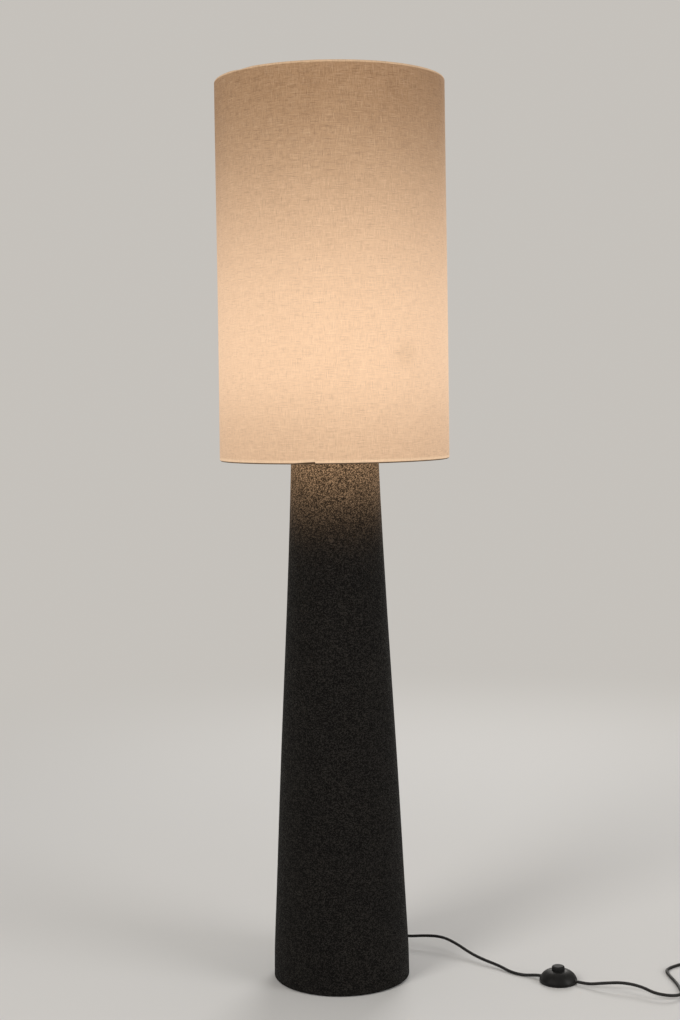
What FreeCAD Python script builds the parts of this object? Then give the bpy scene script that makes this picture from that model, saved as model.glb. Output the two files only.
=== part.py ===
import FreeCAD, Part
import math
import os

# Floor lamp: a tall tapered column that carries a lit drum shade, with a foot switch on its cord.
# Millimetres, +Z up. The origin is on the floor, on the column's axis, and the cord leaves at the back, +Y.

Vector = FreeCAD.Vector
ORIGIN = Vector(0, 0, 0)
UP = Vector(0, 0, 1)
OUT = Vector(1, 0, 0)
BACK = Vector(0, 1, 0)

# Driving sizes of the whole lamp
total_height = 1500.0
shade_radius = 192.2
shade_height = 632.0
column_in_shade = 17.0
column_foot_radius = 113.5
column_top_radius = 73.0
cord_diameter = 5.0

# Clearances and laps that many pieces share
running_gap = 0.3
seat_gap = 0.1
overrun = 1.0

# Heights that the pieces on the rod stand at, from the floor up
floor_gap = 1.5
cap_plate_height = 4.0
cap_boss_height = 4.0
neck_length = 20.0
shade_bottom = total_height - shade_height
column_top = shade_bottom + column_in_shade
neck_bottom = column_top + cap_plate_height + cap_boss_height
holder_bottom = neck_bottom + neck_length
holder_cap_height = 22.0
holder_body_height = 38.0
body_bottom = holder_bottom + holder_cap_height
holder_top = body_bottom + holder_body_height


def line(start, end):
    return Part.LineSegment(start, end).toShape()


def arc(start, middle, end):
    return Part.Arc(start, middle, end).toShape()


def tangent_arc(before, corner, after, radius):
    """First, middle and last point of the arc that rounds one corner."""
    back = (before - corner).normalize()
    ahead = (after - corner).normalize()
    half_turn = (math.pi - back.getAngle(ahead)) / 2
    reach = radius * math.tan(half_turn)
    depth = radius / math.cos(half_turn) - radius
    inward = (back + ahead).normalize()
    return corner + back * reach, corner + inward * depth, corner + ahead * reach


def rounded_edges(corners, radii, closed):
    """Straight runs through the corners, each corner rounded by its own radius or left sharp at 0."""
    count = len(corners)
    bends = []
    for place, corner in enumerate(corners):
        if radii[place] == 0:
            bends.append((corner, corner, corner))
        else:
            before = corners[place - 1]
            after = corners[(place + 1) % count]
            bends.append(tangent_arc(before, corner, after, radii[place]))
    edges = []
    last = count if closed else count - 1
    for place, bend in enumerate(bends):
        if radii[place] != 0:
            edges.append(arc(*bend))
        following = bends[(place + 1) % count]
        if place < last and not bend[2].isEqual(following[0], Part.Precision.confusion()):
            edges.append(line(bend[2], following[0]))
    return edges


def turned(*outline):
    """A solid turned about Z from corners given as radius, height and, where it is rounded, the rounding."""
    corners = [Vector(corner[0], 0, corner[1]) for corner in outline]
    radii = [corner[2] if len(corner) > 2 else 0 for corner in outline]
    wire = Part.Wire(rounded_edges(corners, radii, closed=True))
    return Part.Face(wire).revolve(ORIGIN, UP, 360)


def tube(inner_radius, outer_radius, bottom, top):
    return turned((inner_radius, bottom), (outer_radius, bottom), (outer_radius, top), (inner_radius, top))


def rod(radius, bottom, top, x=0, y=0):
    return Part.makeCylinder(radius, top - bottom, Vector(x, y, bottom))


def block(low, high):
    size = high - low
    return Part.makeBox(size.x, size.y, size.z, low)


def around(shape, count, first_angle=0):
    """Copies of a shape, evenly spaced round Z."""
    copies = []
    for place in range(count):
        copy = shape.copy()
        copy.rotate(ORIGIN, UP, first_angle + 360 * place / count)
        copies.append(copy)
    return copies


def hex_nut(across_flats, bore_radius, bottom, top):
    """A six-sided nut whose corners are chamfered on its lower face."""
    sides = 6
    corner_radius = across_flats / math.sqrt(3)
    corners = []
    for side in range(sides + 1):
        angle = math.tau * side / sides
        corners.append(Vector(corner_radius * math.cos(angle), corner_radius * math.sin(angle), bottom))
    nut = Part.Face(Part.makePolygon(corners)).extrude(UP * (top - bottom))
    chamfer = (corner_radius - across_flats / 2) / 2
    envelope = turned((0, bottom), (across_flats / 2, bottom), (corner_radius, bottom + chamfer),
                      (corner_radius, top), (0, top))
    return nut.common(envelope).cut(rod(bore_radius, bottom - overrun, top + overrun))


def swept(path, radius):
    """A round solid along a path of edges."""
    wire = Part.Wire(path)
    first = path[0]
    start = first.valueAt(first.FirstParameter)
    direction = first.tangentAt(first.FirstParameter)
    section = Part.Wire([Part.Circle(start, direction, radius).toShape()])
    return wire.makePipeShell([section], True, False)


def save(shape, node):
    os.makedirs("parts", exist_ok=True)
    shape.exportStep("parts/" + node + ".step")


# Column: a cast shell that tapers in a long, faint S from a nearly upright foot to a narrow top
column_wall = 6.0
column_roof = 10.0
column_top_rounding = 4.0
column_foot_rounding = 2.0
column_height_shares = (0, 0.055, 0.12, 0.34, 0.68, 1)
column_radius_shares = (1, 0.98, 0.915, 0.69, 0.30, 0)
rod_radius = 5.0
rod_hole_radius = rod_radius + running_gap
cable_height = 20.0
gland_thread_radius = 6.0
ledge_width = 18.0
ledge_depth = 12.0
plate_bottom = 60.0
plate_thickness = 3.0
ledge_bottom = plate_bottom + plate_thickness
ledge_radius = column_foot_radius - column_wall - ledge_width
boss_radius = 7.0
boss_top = 45.0
cover_thickness = 5.0
cover_top = floor_gap + cover_thickness
screw_radius = 2.0
screw_length = 26.0
pilot_gap = 4.0
boss_circle = column_foot_radius - column_wall - boss_radius
boss_count = 3
boss_angle = 30


def column_outline(inset):
    """The column's side from foot to top, set in by the wall where it is the inside."""
    heights = [floor_gap + share * (column_top - floor_gap) for share in column_height_shares]
    taper = column_foot_radius - column_top_radius
    radii = [column_top_radius + share * taper - inset for share in column_radius_shares]
    curve = Part.BSplineCurve()
    curve.interpolate([Vector(radius, 0, height) for radius, height in zip(radii, heights)])
    return curve.toShape()


def column_radius(height, inset):
    level = line(Vector(0, 0, height), Vector(2 * column_foot_radius, 0, height))
    return column_outline(inset).distToShape(level)[1][0][0].x


def column_solid(inset, top):
    """The space inside the outline, from the foot to a given height."""
    side = column_outline(inset)
    low, high = side.valueAt(side.FirstParameter), side.valueAt(side.LastParameter)
    wire = Part.Wire([
        line(Vector(0, 0, low.z), low), side, line(high, Vector(0, 0, high.z)),
        line(Vector(0, 0, high.z), Vector(0, 0, low.z)),
    ])
    solid = Part.Face(wire).revolve(ORIGIN, UP, 360)
    above = rod(2 * column_foot_radius, top, total_height)
    return solid.cut(above)


def edges_at(shape, height):
    return [edge for edge in shape.Edges if edge.BoundBox.ZLength < seat_gap
            and abs(edge.BoundBox.ZMax - height) < seat_gap]


def base_shell():
    outside = column_solid(0, total_height)
    outside = outside.makeFillet(column_top_rounding, edges_at(outside, column_top))
    outside = outside.makeFillet(column_foot_rounding, edges_at(outside, floor_gap))
    inside = column_solid(column_wall, column_top - column_roof)
    ledge_top = ledge_bottom + ledge_depth
    ledge = column_solid(column_wall / 2, total_height).common(turned(
        (ledge_radius, ledge_bottom), (column_foot_radius, ledge_bottom),
        (column_foot_radius, ledge_top + ledge_width), (ledge_radius, ledge_top),
    ))
    bosses = around(rod(boss_radius, cover_top, boss_top, boss_circle), boss_count, boss_angle)
    pilot_top = floor_gap + screw_length + pilot_gap
    pilots = around(rod(screw_radius, cover_top - overrun, pilot_top, boss_circle), boss_count, boss_angle)
    shell = outside.cut(inside).fuse([ledge] + [boss.common(outside) for boss in bosses])
    shell = shell.cut(pilots)
    shell = shell.cut(rod(rod_hole_radius, column_top - column_roof - overrun, column_top + overrun))
    hole = Part.makeCylinder(gland_thread_radius + running_gap, 3 * column_wall,
                             Vector(0, column_foot_radius - 2 * column_wall, cable_height), BACK)
    return shell.cut(hole).removeSplitter()


# Bottom cover: a board disc in the foot of the shell, with shallow seats for the felt pads
pad_radius = 11.0
pad_thickness = 3.0
pad_circle = 78.0
pad_count = 4
pad_angle = 45
cover_radius = column_foot_radius - column_wall - 3 * running_gap
screw_head_radius = 4.0
screw_head_height = 2.5
cover_chamfer = 1.0


def bottom_cover():
    disc = turned((0, floor_gap), (cover_radius - cover_chamfer, floor_gap),
                  (cover_radius, floor_gap + cover_chamfer), (cover_radius, cover_top), (0, cover_top))
    seat_radius = pad_radius + seat_gap
    seats = around(rod(seat_radius, floor_gap - overrun, pad_thickness, pad_circle), pad_count, pad_angle)
    holes = around(rod(screw_radius + seat_gap, 0, cover_top + overrun, boss_circle), boss_count, boss_angle)
    sink_depth = floor_gap + screw_head_height
    sink = turned((0, 0), (screw_head_radius + seat_gap, 0), (screw_head_radius + seat_gap, floor_gap),
                  (screw_radius + seat_gap, sink_depth), (0, sink_depth))
    sink.translate(Vector(boss_circle, 0, 0))
    return disc.cut(seats + holes + around(sink, boss_count, boss_angle))


def floor_pads():
    pad = turned((0, 0), (pad_radius, 0), (pad_radius, pad_thickness), (0, pad_thickness))
    pad.translate(Vector(pad_circle, 0, 0))
    return Part.makeCompound(around(pad, pad_count, pad_angle))


def cover_screws():
    drive_depth = screw_head_height / 2
    tip = floor_gap + screw_length
    screw = turned((0, floor_gap + drive_depth), (screw_radius / 2, floor_gap + drive_depth),
                   (screw_radius / 2, floor_gap), (screw_head_radius, floor_gap),
                   (screw_radius, floor_gap + screw_head_height), (screw_radius, tip - screw_radius),
                   (0, tip))
    screw.translate(Vector(boss_circle, 0, 0))
    return Part.makeCompound(around(screw, boss_count, boss_angle))


# Clamping rod: a hollow threaded rod draws the plate at the foot and the cap on top together
rod_bore_radius = 3.6
nut_across = 14.0
nut_height = 5.0
washer_radius = 12.0
washer_thickness = 1.5
thread_gap = 0.05
rod_tail = 4.0
rod_in_holder = 12.0
rod_bottom = plate_bottom - washer_thickness - nut_height - rod_tail
rod_top = holder_bottom + rod_in_holder
weight_gap = 3.5
weight_radius = ledge_radius - weight_gap
weight_thickness = 28.0
weight_rounding = 3.0
weight_recess_radius = 20.0
weight_recess_depth = 3.0


def tie_plate():
    """Steel plate under the shell's ledge, with holes that lighten it and let it be gripped."""
    radius = column_radius(ledge_bottom, column_wall) - 2 * running_gap
    plate = tube(rod_hole_radius, radius, plate_bottom, ledge_bottom)
    grip = rod(boss_radius, plate_bottom - overrun, ledge_bottom + overrun, weight_radius / 2)
    return plate.cut(around(grip, boss_count))


def ballast_weight():
    top = ledge_bottom + weight_thickness
    recess_floor = top - weight_recess_depth
    return turned((rod_hole_radius, ledge_bottom), (weight_radius, ledge_bottom),
                  (weight_radius, top, weight_rounding), (weight_recess_radius, top),
                  (weight_recess_radius, recess_floor), (rod_hole_radius, recess_floor))


def threaded_rod():
    return tube(rod_bore_radius, rod_radius, rod_bottom, rod_top)


def lower_washer():
    return tube(rod_hole_radius, washer_radius, plate_bottom - washer_thickness, plate_bottom)


def lower_nut():
    top = plate_bottom - washer_thickness
    return hex_nut(nut_across, rod_radius + thread_gap, top - nut_height, top)


# Top cap and neck: turned steel pieces between the column and the lampholder
top_cap_radius = 32.0
cap_boss_radius = 11.0
neck_radius = 8.0
cap_rounding = 2.5


def top_cap():
    plate_top = column_top + cap_plate_height
    return turned((rod_hole_radius, column_top), (top_cap_radius, column_top),
                  (top_cap_radius, plate_top, cap_rounding), (cap_boss_radius, plate_top, cap_rounding),
                  (cap_boss_radius, neck_bottom, cap_rounding / 2), (rod_hole_radius, neck_bottom))


def neck_sleeve():
    waist = neck_radius - cap_rounding / 2
    middle = neck_bottom + neck_length / 2
    return turned((rod_hole_radius, neck_bottom), (neck_radius, neck_bottom),
                  (neck_radius, neck_bottom + cap_rounding), (waist, middle - cap_rounding, neck_radius),
                  (waist, middle + cap_rounding, neck_radius), (neck_radius, holder_bottom - cap_rounding),
                  (neck_radius, holder_bottom), (rod_hole_radius, holder_bottom))


# Lampholder: cap, body and insert of moulded plastic, with a metal screw shell for the bulb
holder_radius = 19.5
holder_neck_radius = 9.0
holder_wall = 2.0
holder_mouth_radius = 14.8
holder_rounding = 6.0
shell_thickness = 0.5
bulb_cap_radius = 13.2
shell_radius = bulb_cap_radius + running_gap
insert_height = 12.0
insert_top = body_bottom + insert_height
contact_height = 3.0


def holder_cap():
    """Screws on the rod by its narrow collar."""
    bore = rod_radius + thread_gap
    inside = holder_radius - holder_wall
    collar_top = holder_bottom + holder_rounding
    floor = collar_top + holder_wall
    return turned((bore, holder_bottom), (holder_neck_radius, holder_bottom, holder_wall / 2),
                  (holder_neck_radius, collar_top, holder_wall), (holder_radius, collar_top, holder_rounding),
                  (holder_radius, body_bottom), (inside, body_bottom),
                  (inside, floor, holder_rounding - holder_wall), (bore, floor))


def holder_body():
    """The barrel above the cap, turned in at its mouth to a lip."""
    inside = holder_radius - holder_wall
    lip_bottom = holder_top - holder_wall
    return turned((inside, body_bottom), (holder_radius, body_bottom),
                  (holder_radius, holder_top, holder_wall / 2),
                  (holder_mouth_radius, holder_top, holder_wall / 2), (holder_mouth_radius, lip_bottom),
                  (inside, lip_bottom))


def holder_insert():
    """The inner block that carries the contacts, with two channels for the wires."""
    radius = holder_radius - holder_wall - seat_gap
    low = body_bottom + seat_gap
    pocket = insert_top - contact_height
    core = turned((0, low), (radius, low), (radius, insert_top), (bulb_cap_radius, insert_top),
                  (bulb_cap_radius, pocket), (0, pocket))
    channel = block(Vector(radius - 2 * cord_diameter, -cord_diameter / 2, low - overrun),
                    Vector(radius - cord_diameter, cord_diameter / 2, insert_top + overrun))
    return core.cut(around(channel, 2))


def holder_screw_shell():
    low = insert_top + seat_gap
    high = holder_top - holder_wall - seat_gap
    outer = shell_radius + shell_thickness
    return tube(shell_radius, outer, low, high)


def holder_contact():
    """A springy strip that rises from the insert to touch the bulb's centre."""
    half_width = contact_height
    low = insert_top - contact_height
    bend = 2 * shell_thickness
    reach = bulb_cap_radius / 2
    outline = [Vector(-reach, 0, low), Vector(reach, 0, low), Vector(reach, 0, low + shell_thickness),
               Vector(0, 0, bulb_contact_bottom), Vector(-reach, 0, low + shell_thickness)]
    strip = Part.Face(Part.Wire(rounded_edges(outline, [0, 0, 0, bend, 0], closed=True)))
    strip.translate(Vector(0, -half_width, 0))
    return strip.extrude(BACK * (2 * half_width))


def holder_terminal_screws():
    low = body_bottom - contact_height
    screw = turned((0, low), (contact_height, low), (contact_height, body_bottom),
                   (0, body_bottom))
    screw.translate(Vector(holder_radius / 2, 0, seat_gap))
    return Part.makeCompound(around(screw, 2, 90))


# Shade rings: two threaded plastic rings on the holder clamp the shade's hub between them
ring_radius = 28.0
ring_height = 5.0
ring_rounding = 1.5
ring_grips = 24
hub_thickness = 2.0
hub_rise = 17.0
hub_bottom = body_bottom + hub_rise
hub_top = hub_bottom + hub_thickness


def clamp_ring(bottom):
    top = bottom + ring_height
    bore = holder_radius + thread_gap
    ring = turned((bore, bottom), (ring_radius, bottom, ring_rounding), (ring_radius, top, ring_rounding),
                  (bore, top))
    groove = rod(ring_rounding, bottom - overrun, top + overrun, ring_radius + ring_rounding / 2)
    return ring.cut(around(groove, ring_grips))


# Bulb: a clear pear-shaped glass with four lit sticks on a glass stem, in a screw cap
bulb_radius = 30.0
bulb_length = 106.0
bulb_neck_radius = 12.8
bulb_glass_wall = 0.8
bulb_neck_height = 20.0
bulb_shoulder_height = 46.0
bulb_cap_height = 22.0
insulator_height = 4.0
bulb_contact_height = 1.5
bulb_cap_show = 2.0
bulb_seat = holder_top + bulb_cap_show
bulb_cap_bottom = bulb_seat - bulb_cap_height
bulb_contact_bottom = bulb_cap_bottom - insulator_height - bulb_contact_height
bulb_top = bulb_contact_bottom + bulb_length
stem_radius = 4.0
stem_height = 30.0
stem_top = bulb_seat + stem_height
stick_radius = 1.1
stick_length = 34.0
stick_spread = 9.0
stick_count = 4


def bulb_space(inset):
    """The bulb's pear, set in by the wall where it is the inside of the glass."""
    radius = bulb_radius - inset
    neck = bulb_neck_radius - inset
    top = bulb_top - inset
    shoulder = bulb_seat + bulb_shoulder_height
    return turned((0, bulb_seat), (neck, bulb_seat),
                  (neck, bulb_seat + bulb_neck_height, bulb_neck_radius + inset),
                  (radius, shoulder, bulb_radius - inset), (radius, top, radius), (0, top))


def bulb_glass():
    inside = bulb_space(bulb_glass_wall)
    return bulb_space(0).cut(inside)


def bulb_cap():
    inner = bulb_cap_radius - shell_thickness
    floor = bulb_cap_bottom + shell_thickness
    return turned((inner - insulator_height, bulb_cap_bottom),
                  (bulb_cap_radius, bulb_cap_bottom, shell_thickness), (bulb_cap_radius, bulb_seat),
                  (inner, bulb_seat), (inner, floor), (inner - insulator_height, floor))


def bulb_insulator():
    top_radius = bulb_cap_radius - shell_thickness - insulator_height
    low = bulb_cap_bottom - insulator_height
    return turned((0, low), (top_radius / 2, low), (top_radius, bulb_cap_bottom, shell_thickness),
                  (top_radius, bulb_cap_bottom + shell_thickness), (0, bulb_cap_bottom + shell_thickness))


def bulb_contact():
    low = bulb_contact_bottom
    high = low + bulb_contact_height
    radius = bulb_contact_height * 2
    return turned((0, low), (radius, low, bulb_contact_height / 2), (radius, high), (0, high))


def bulb_stem():
    """Glass foot, post and top button; the foot closes the neck of the glass."""
    foot_radius = bulb_neck_radius - bulb_glass_wall - seat_gap
    post = stem_radius / 2
    return turned((0, bulb_seat), (foot_radius, bulb_seat), (foot_radius, bulb_seat + post),
                  (stem_radius, bulb_seat + stem_radius + post, post), (post, stem_top - stem_radius, post),
                  (post, stem_top), (0, stem_top))


def bulb_filaments():
    """Sticks that lean out from the stem, each on a wire from the stem's foot to its head."""
    low = Vector(stem_radius + stick_radius, 0, stem_top - stick_length / 2)
    high = Vector(stick_spread, 0, low.z + stick_length)
    wire_radius = stick_radius / 4
    axis = (high - low).normalize()
    stick = Part.makeCylinder(stick_radius, stick_length, low, axis)
    foot = Vector(stem_radius / 2, 0, low.z - 2 * stem_radius)
    wire = Part.makeCylinder(wire_radius, (low - foot).Length + overrun, foot, (low - foot).normalize())
    head = Vector(0, 0, stem_top - stick_radius)
    end = low + axis * (stick_length - stick_radius)
    return_wire = Part.makeCylinder(wire_radius, (end - head).Length, head, (end - head).normalize())
    sticks = around(stick.fuse([wire, return_wire]), stick_count, 180 / stick_count)
    return sticks[0].fuse(sticks[1:]).cut(bulb_stem())


# Shade: welded lower frame, upper ring, stiff liner, and linen rolled round both rings
ring_wire_radius = 1.8
spoke_radius = 1.6
spoke_count = 3
spoke_angle = 90
spoke_bend = 28.0
fabric_thickness = 0.7
liner_thickness = 0.4
roll_gap = 0.9
roll_lap = 6.0
hub_lap = 4.0
hub_radius = ring_radius + hub_lap
roll_radius = ring_wire_radius + roll_gap + fabric_thickness
wire_circle = shade_radius - roll_radius
lower_wire_height = shade_bottom + roll_radius
upper_wire_height = total_height - roll_radius


def wire_ring(height):
    return Part.makeTorus(wire_circle, ring_wire_radius, Vector(0, 0, height), UP)


def spokes(radius):
    spoke_height = hub_bottom + hub_thickness / 2
    leg_circle = wire_circle - ring_wire_radius
    route = [Vector(hub_radius - spoke_radius, 0, spoke_height), Vector(leg_circle, 0, spoke_height),
             Vector(leg_circle, 0, lower_wire_height)]
    spoke = swept(rounded_edges(route, [0, spoke_bend, 0], closed=False), radius)
    return around(spoke, spoke_count, spoke_angle)


def shade_carrier():
    """Hub washer with three spokes that run out level, bend down and meet the lower ring."""
    hub = tube(holder_radius + running_gap, hub_radius, hub_bottom, hub_top)
    return hub.fuse(spokes(spoke_radius) + [wire_ring(lower_wire_height)])


def shade_top_ring():
    return wire_ring(upper_wire_height)


def shade_liner():
    outer = shade_radius - fabric_thickness
    edge = 2 * roll_radius + roll_gap
    return tube(outer - liner_thickness, outer, shade_bottom + edge, total_height - edge)


def fabric_roll(height, way):
    """Outline edges of the cloth where it turns round a ring: way is 1 at the top and -1 at the bottom."""
    inner = roll_radius - fabric_thickness
    edges = []
    for radius in (roll_radius, inner):
        start = Vector(wire_circle + radius, 0, height)
        crest = Vector(wire_circle, 0, height + way * radius)
        end = Vector(wire_circle - radius, 0, height)
        edges += [arc(start, crest, end), line(end, end - UP * (way * roll_lap))]
    hem = UP * (height - way * roll_lap)
    return edges + [line(hem + OUT * (wire_circle - roll_radius), hem + OUT * (wire_circle - inner))]


def shade_fabric():
    outer = wire_circle + roll_radius
    inner = outer - fabric_thickness
    walls = [line(Vector(outer, 0, lower_wire_height), Vector(outer, 0, upper_wire_height)),
             line(Vector(inner, 0, lower_wire_height), Vector(inner, 0, upper_wire_height))]
    edges = walls + fabric_roll(upper_wire_height, 1) + fabric_roll(lower_wire_height, -1)
    cloth = Part.Face(Part.Wire(Part.__sortEdges__(edges))).revolve(ORIGIN, UP, 360)
    # the lap is notched where each spoke comes down to the ring
    return cloth.cut(spokes(spoke_radius + roll_gap))


# Cord gland: a flanged bush with a tapered sleeve, held by a nut inside the column
gland_flange_radius = 9.0
gland_flange_thickness = 3.0
gland_sleeve_length = 20.0
gland_root_radius = 6.0
gland_tip_radius = 4.0
gland_rounding = 1.0
gland_nut_across = 16.0
gland_nut_thickness = 3.0
cord_radius = cord_diameter / 2
cord_hole_radius = cord_radius + seat_gap
gland_seat = column_foot_radius + seat_gap
gland_tip = gland_seat + gland_flange_thickness + gland_sleeve_length
gland_nut_corner = gland_nut_across / math.sqrt(3)
column_inside = column_foot_radius - column_wall
gland_nut_seat = math.sqrt(column_inside ** 2 - gland_nut_corner ** 2) - running_gap
gland_tail = 1.5
gland_root = gland_nut_seat - gland_nut_thickness - gland_tail


def at_gland(shape):
    """Turns a piece that was made along Z to lie along the gland's axis, pointing back."""
    shape.rotate(ORIGIN, OUT, -90)
    shape.translate(Vector(0, 0, cable_height))
    return shape


def cord_gland():
    flange_end = gland_seat + gland_flange_thickness
    bush = turned((cord_hole_radius, gland_root), (gland_thread_radius, gland_root),
                  (gland_thread_radius, gland_seat), (gland_flange_radius, gland_seat),
                  (gland_flange_radius, flange_end, gland_rounding),
                  (gland_root_radius, flange_end, gland_rounding),
                  (gland_tip_radius, gland_tip, gland_rounding), (cord_hole_radius, gland_tip))
    return at_gland(bush)


def gland_nut():
    nut = hex_nut(gland_nut_across, gland_thread_radius + thread_gap,
                  gland_nut_seat - gland_nut_thickness, gland_nut_seat)
    return at_gland(nut)


# Inner lead: in through the gland, round under the rod, and up its bore to the lampholder
lead_bend = 6 * cord_diameter


def inner_cord():
    top = holder_bottom + holder_cap_height - contact_height - cord_diameter
    route = [Vector(0, gland_tip, cable_height), Vector(0, 0, cable_height), Vector(0, 0, top)]
    return swept(rounded_edges(route, [0, lead_bend, 0], closed=False), cord_radius)


# Free cord from the gland to the foot switch: straight runs with one arc at each point
switch_x = 358.0
switch_y = -55.0
switch_axis_angle = -30
switch_radius = 31.0
cord_in_switch_height = 5.5
near_switch_share = 1.14
inside_switch_share = 0.63
bend_share = 0.45


def on_switch_axis(share):
    """A point on the line that the cord follows through the switch, as a share of the switch's radius."""
    angle = math.radians(switch_axis_angle)
    return Vector(switch_x + share * switch_radius * math.cos(angle),
                  switch_y + share * switch_radius * math.sin(angle), cord_in_switch_height)


base_to_switch_route = [
    Vector(0, gland_tip, cable_height),
    Vector(0, 155, 20),
    Vector(9.5, 171, 19.5),
    Vector(25.5, 180, 19),
    Vector(45, 179, 18.5),
    Vector(80, 161, 17.5),
    Vector(112, 136, 17),
    Vector(151, 128, 21),
    Vector(178, 114, 22.5),
    Vector(201, 88, 18),
    Vector(220, 66, 10.5),
    Vector(240, 38, 8),
    Vector(266, 14, 5),
    Vector(284, -13, 2.5),
    Vector(302, -27, 2.5),
    Vector(315, -31, 3.5),
    on_switch_axis(-near_switch_share),
    on_switch_axis(-inside_switch_share),
]

coil_outer_radius = 39.5
coil_x = 660.0
coil_front_y = 32.0
coil_lead_in = 8.0
plug_axis_height = 6.85

switch_to_coil_route = [
    on_switch_axis(inside_switch_share),
    on_switch_axis(near_switch_share),
    Vector(404, -85, 6),
    Vector(428, -98, 12),
    Vector(456, -106, 15.5),
    Vector(482, -121, 14.5),
    Vector(500, -143, 11),
    Vector(519, -149.5, 9),
    Vector(536.5, -144.2, 6.5),
    Vector(547.5, -129.5, 4),
    Vector(550, -106, 2.5),
    Vector(549.5, -76, 2.5),
    Vector(545, -42, 2.5),
    Vector(543, -17, 2.5),
    Vector(554, -1, 2.5),
    Vector(576, 15, 2.5),
    Vector(600, 28, 2.5),
    Vector(625, coil_front_y, 2.5),
    Vector(coil_x - coil_lead_in, coil_front_y, 2.5),
]


def cord_path(route):
    """Edges of a cord's line: each arc is as large as its two runs allow."""
    radii = [0]
    for place in range(1, len(route) - 1):
        back = route[place - 1] - route[place]
        ahead = route[place + 1] - route[place]
        half_turn = (math.pi - back.getAngle(ahead)) / 2
        radii.append(bend_share * min(back.Length, ahead.Length) / math.tan(half_turn))
    radii.append(0)
    return rounded_edges(route, radii, closed=False), radii[1:-1]


def free_cord(name, route):
    path, radii = cord_path(route)
    solid = swept(path, cord_radius)
    length = sum(edge.Length for edge in path)
    section = math.pi * cord_radius ** 2
    print(name, "length", round(length, 1), "radii", [round(radius) for radius in radii],
          "volume over section times length", round(solid.Volume / (section * length), 5))
    return solid


# Put-away coil: spirals in on the floor, climbs one layer where it turns back, and spirals out on top
coil_gap = 0.7
coil_pitch = cord_diameter + coil_gap
coil_turns_in = 3.5
coil_lead_out = 30.0
climb_slope_share = 1.5
coil_y = coil_front_y + coil_outer_radius


def biarc(start, start_way, end, end_way):
    """Two arcs that leave the start and reach the end in the given directions."""
    chord = end - start
    ways = start_way + end_way
    a = 2 * (1 - start_way.dot(end_way))
    b = 2 * chord.dot(ways)
    c = -chord.dot(chord)
    reach = (-b + math.sqrt(b * b - 4 * a * c)) / (2 * a) if a > Part.Precision.confusion() else -c / b
    start_corner = start + start_way * reach
    end_corner = end - end_way * reach
    middle = (start_corner + end_corner) * 0.5
    pieces = []
    for first, corner, last in ((start, start_corner, middle), (middle, end_corner, end)):
        to_first = first - corner
        to_last = last - corner
        half_turn = (math.pi - to_first.getAngle(to_last)) / 2
        if half_turn < Part.Precision.confusion():
            pieces.append(line(first, last))
        else:
            radius = reach / math.tan(half_turn)
            pieces.append(arc(*tangent_arc(first, corner, last, radius)))
    return pieces


def coil_node(quarter_turn):
    """Place and direction of the coil's line after a number of quarter turns."""
    last = round(4 * coil_turns_in)
    inward = quarter_turn if quarter_turn <= last else 2 * last - quarter_turn
    radius = coil_outer_radius - coil_pitch * inward / 4
    angle = math.tau * (quarter_turn - 1) / 4
    side = Vector(math.cos(angle), math.sin(angle), 0)
    ahead = Vector(-math.sin(angle), math.cos(angle), 0)
    if quarter_turn in (0, last, 2 * last):
        drift = 0
    elif quarter_turn < last:
        drift = -coil_pitch / math.tau
    else:
        drift = coil_pitch / math.tau
    height = cord_radius
    climb = 0
    if quarter_turn == last:
        height += coil_pitch / 2
        climb = climb_slope_share * coil_pitch / math.pi
    elif quarter_turn > last:
        height += coil_pitch
    place = Vector(coil_x, coil_y, height) + side * radius
    way = (ahead * radius + side * drift + UP * climb).normalize()
    return place, way


def coil_path():
    nodes = [coil_node(quarter_turn) for quarter_turn in range(2 * round(4 * coil_turns_in) + 1)]
    lead_in = line(Vector(coil_x - coil_lead_in, coil_front_y, cord_radius), nodes[0][0])
    edges = [lead_in]
    for (start, start_way), (end, end_way) in zip(nodes, nodes[1:]):
        edges += biarc(start, start_way, end, end_way)
    low = Vector(coil_x + coil_lead_out - cord_diameter, coil_front_y, plug_axis_height)
    edges += biarc(nodes[-1][0], OUT, low, OUT)
    edges.append(line(low, low + OUT * cord_diameter))
    return edges


def least_gap(path, radius, step, apart):
    """Least distance between the surfaces of two stretches that lie well apart along the cord."""
    points = []
    for edge in path:
        count = max(2, round(edge.Length / step))
        points += edge.discretize(count)[:-1]
    skip = round(apart / step)
    distances = []
    for place, point in enumerate(points):
        distances += [(point - other).Length for other in points[place + skip:]]
    return min(distances) - 2 * radius


def cord_coil():
    path = coil_path()
    solid = swept(path, cord_radius)
    length = sum(edge.Length for edge in path)
    section = math.pi * cord_radius ** 2
    gap = least_gap(path, cord_radius, cord_radius, 2 * coil_outer_radius)
    print("cord_coil length", round(length, 1), "least gap to itself", round(gap, 2),
          "volume over section times length", round(solid.Volume / (section * length), 5))
    return solid


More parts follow.
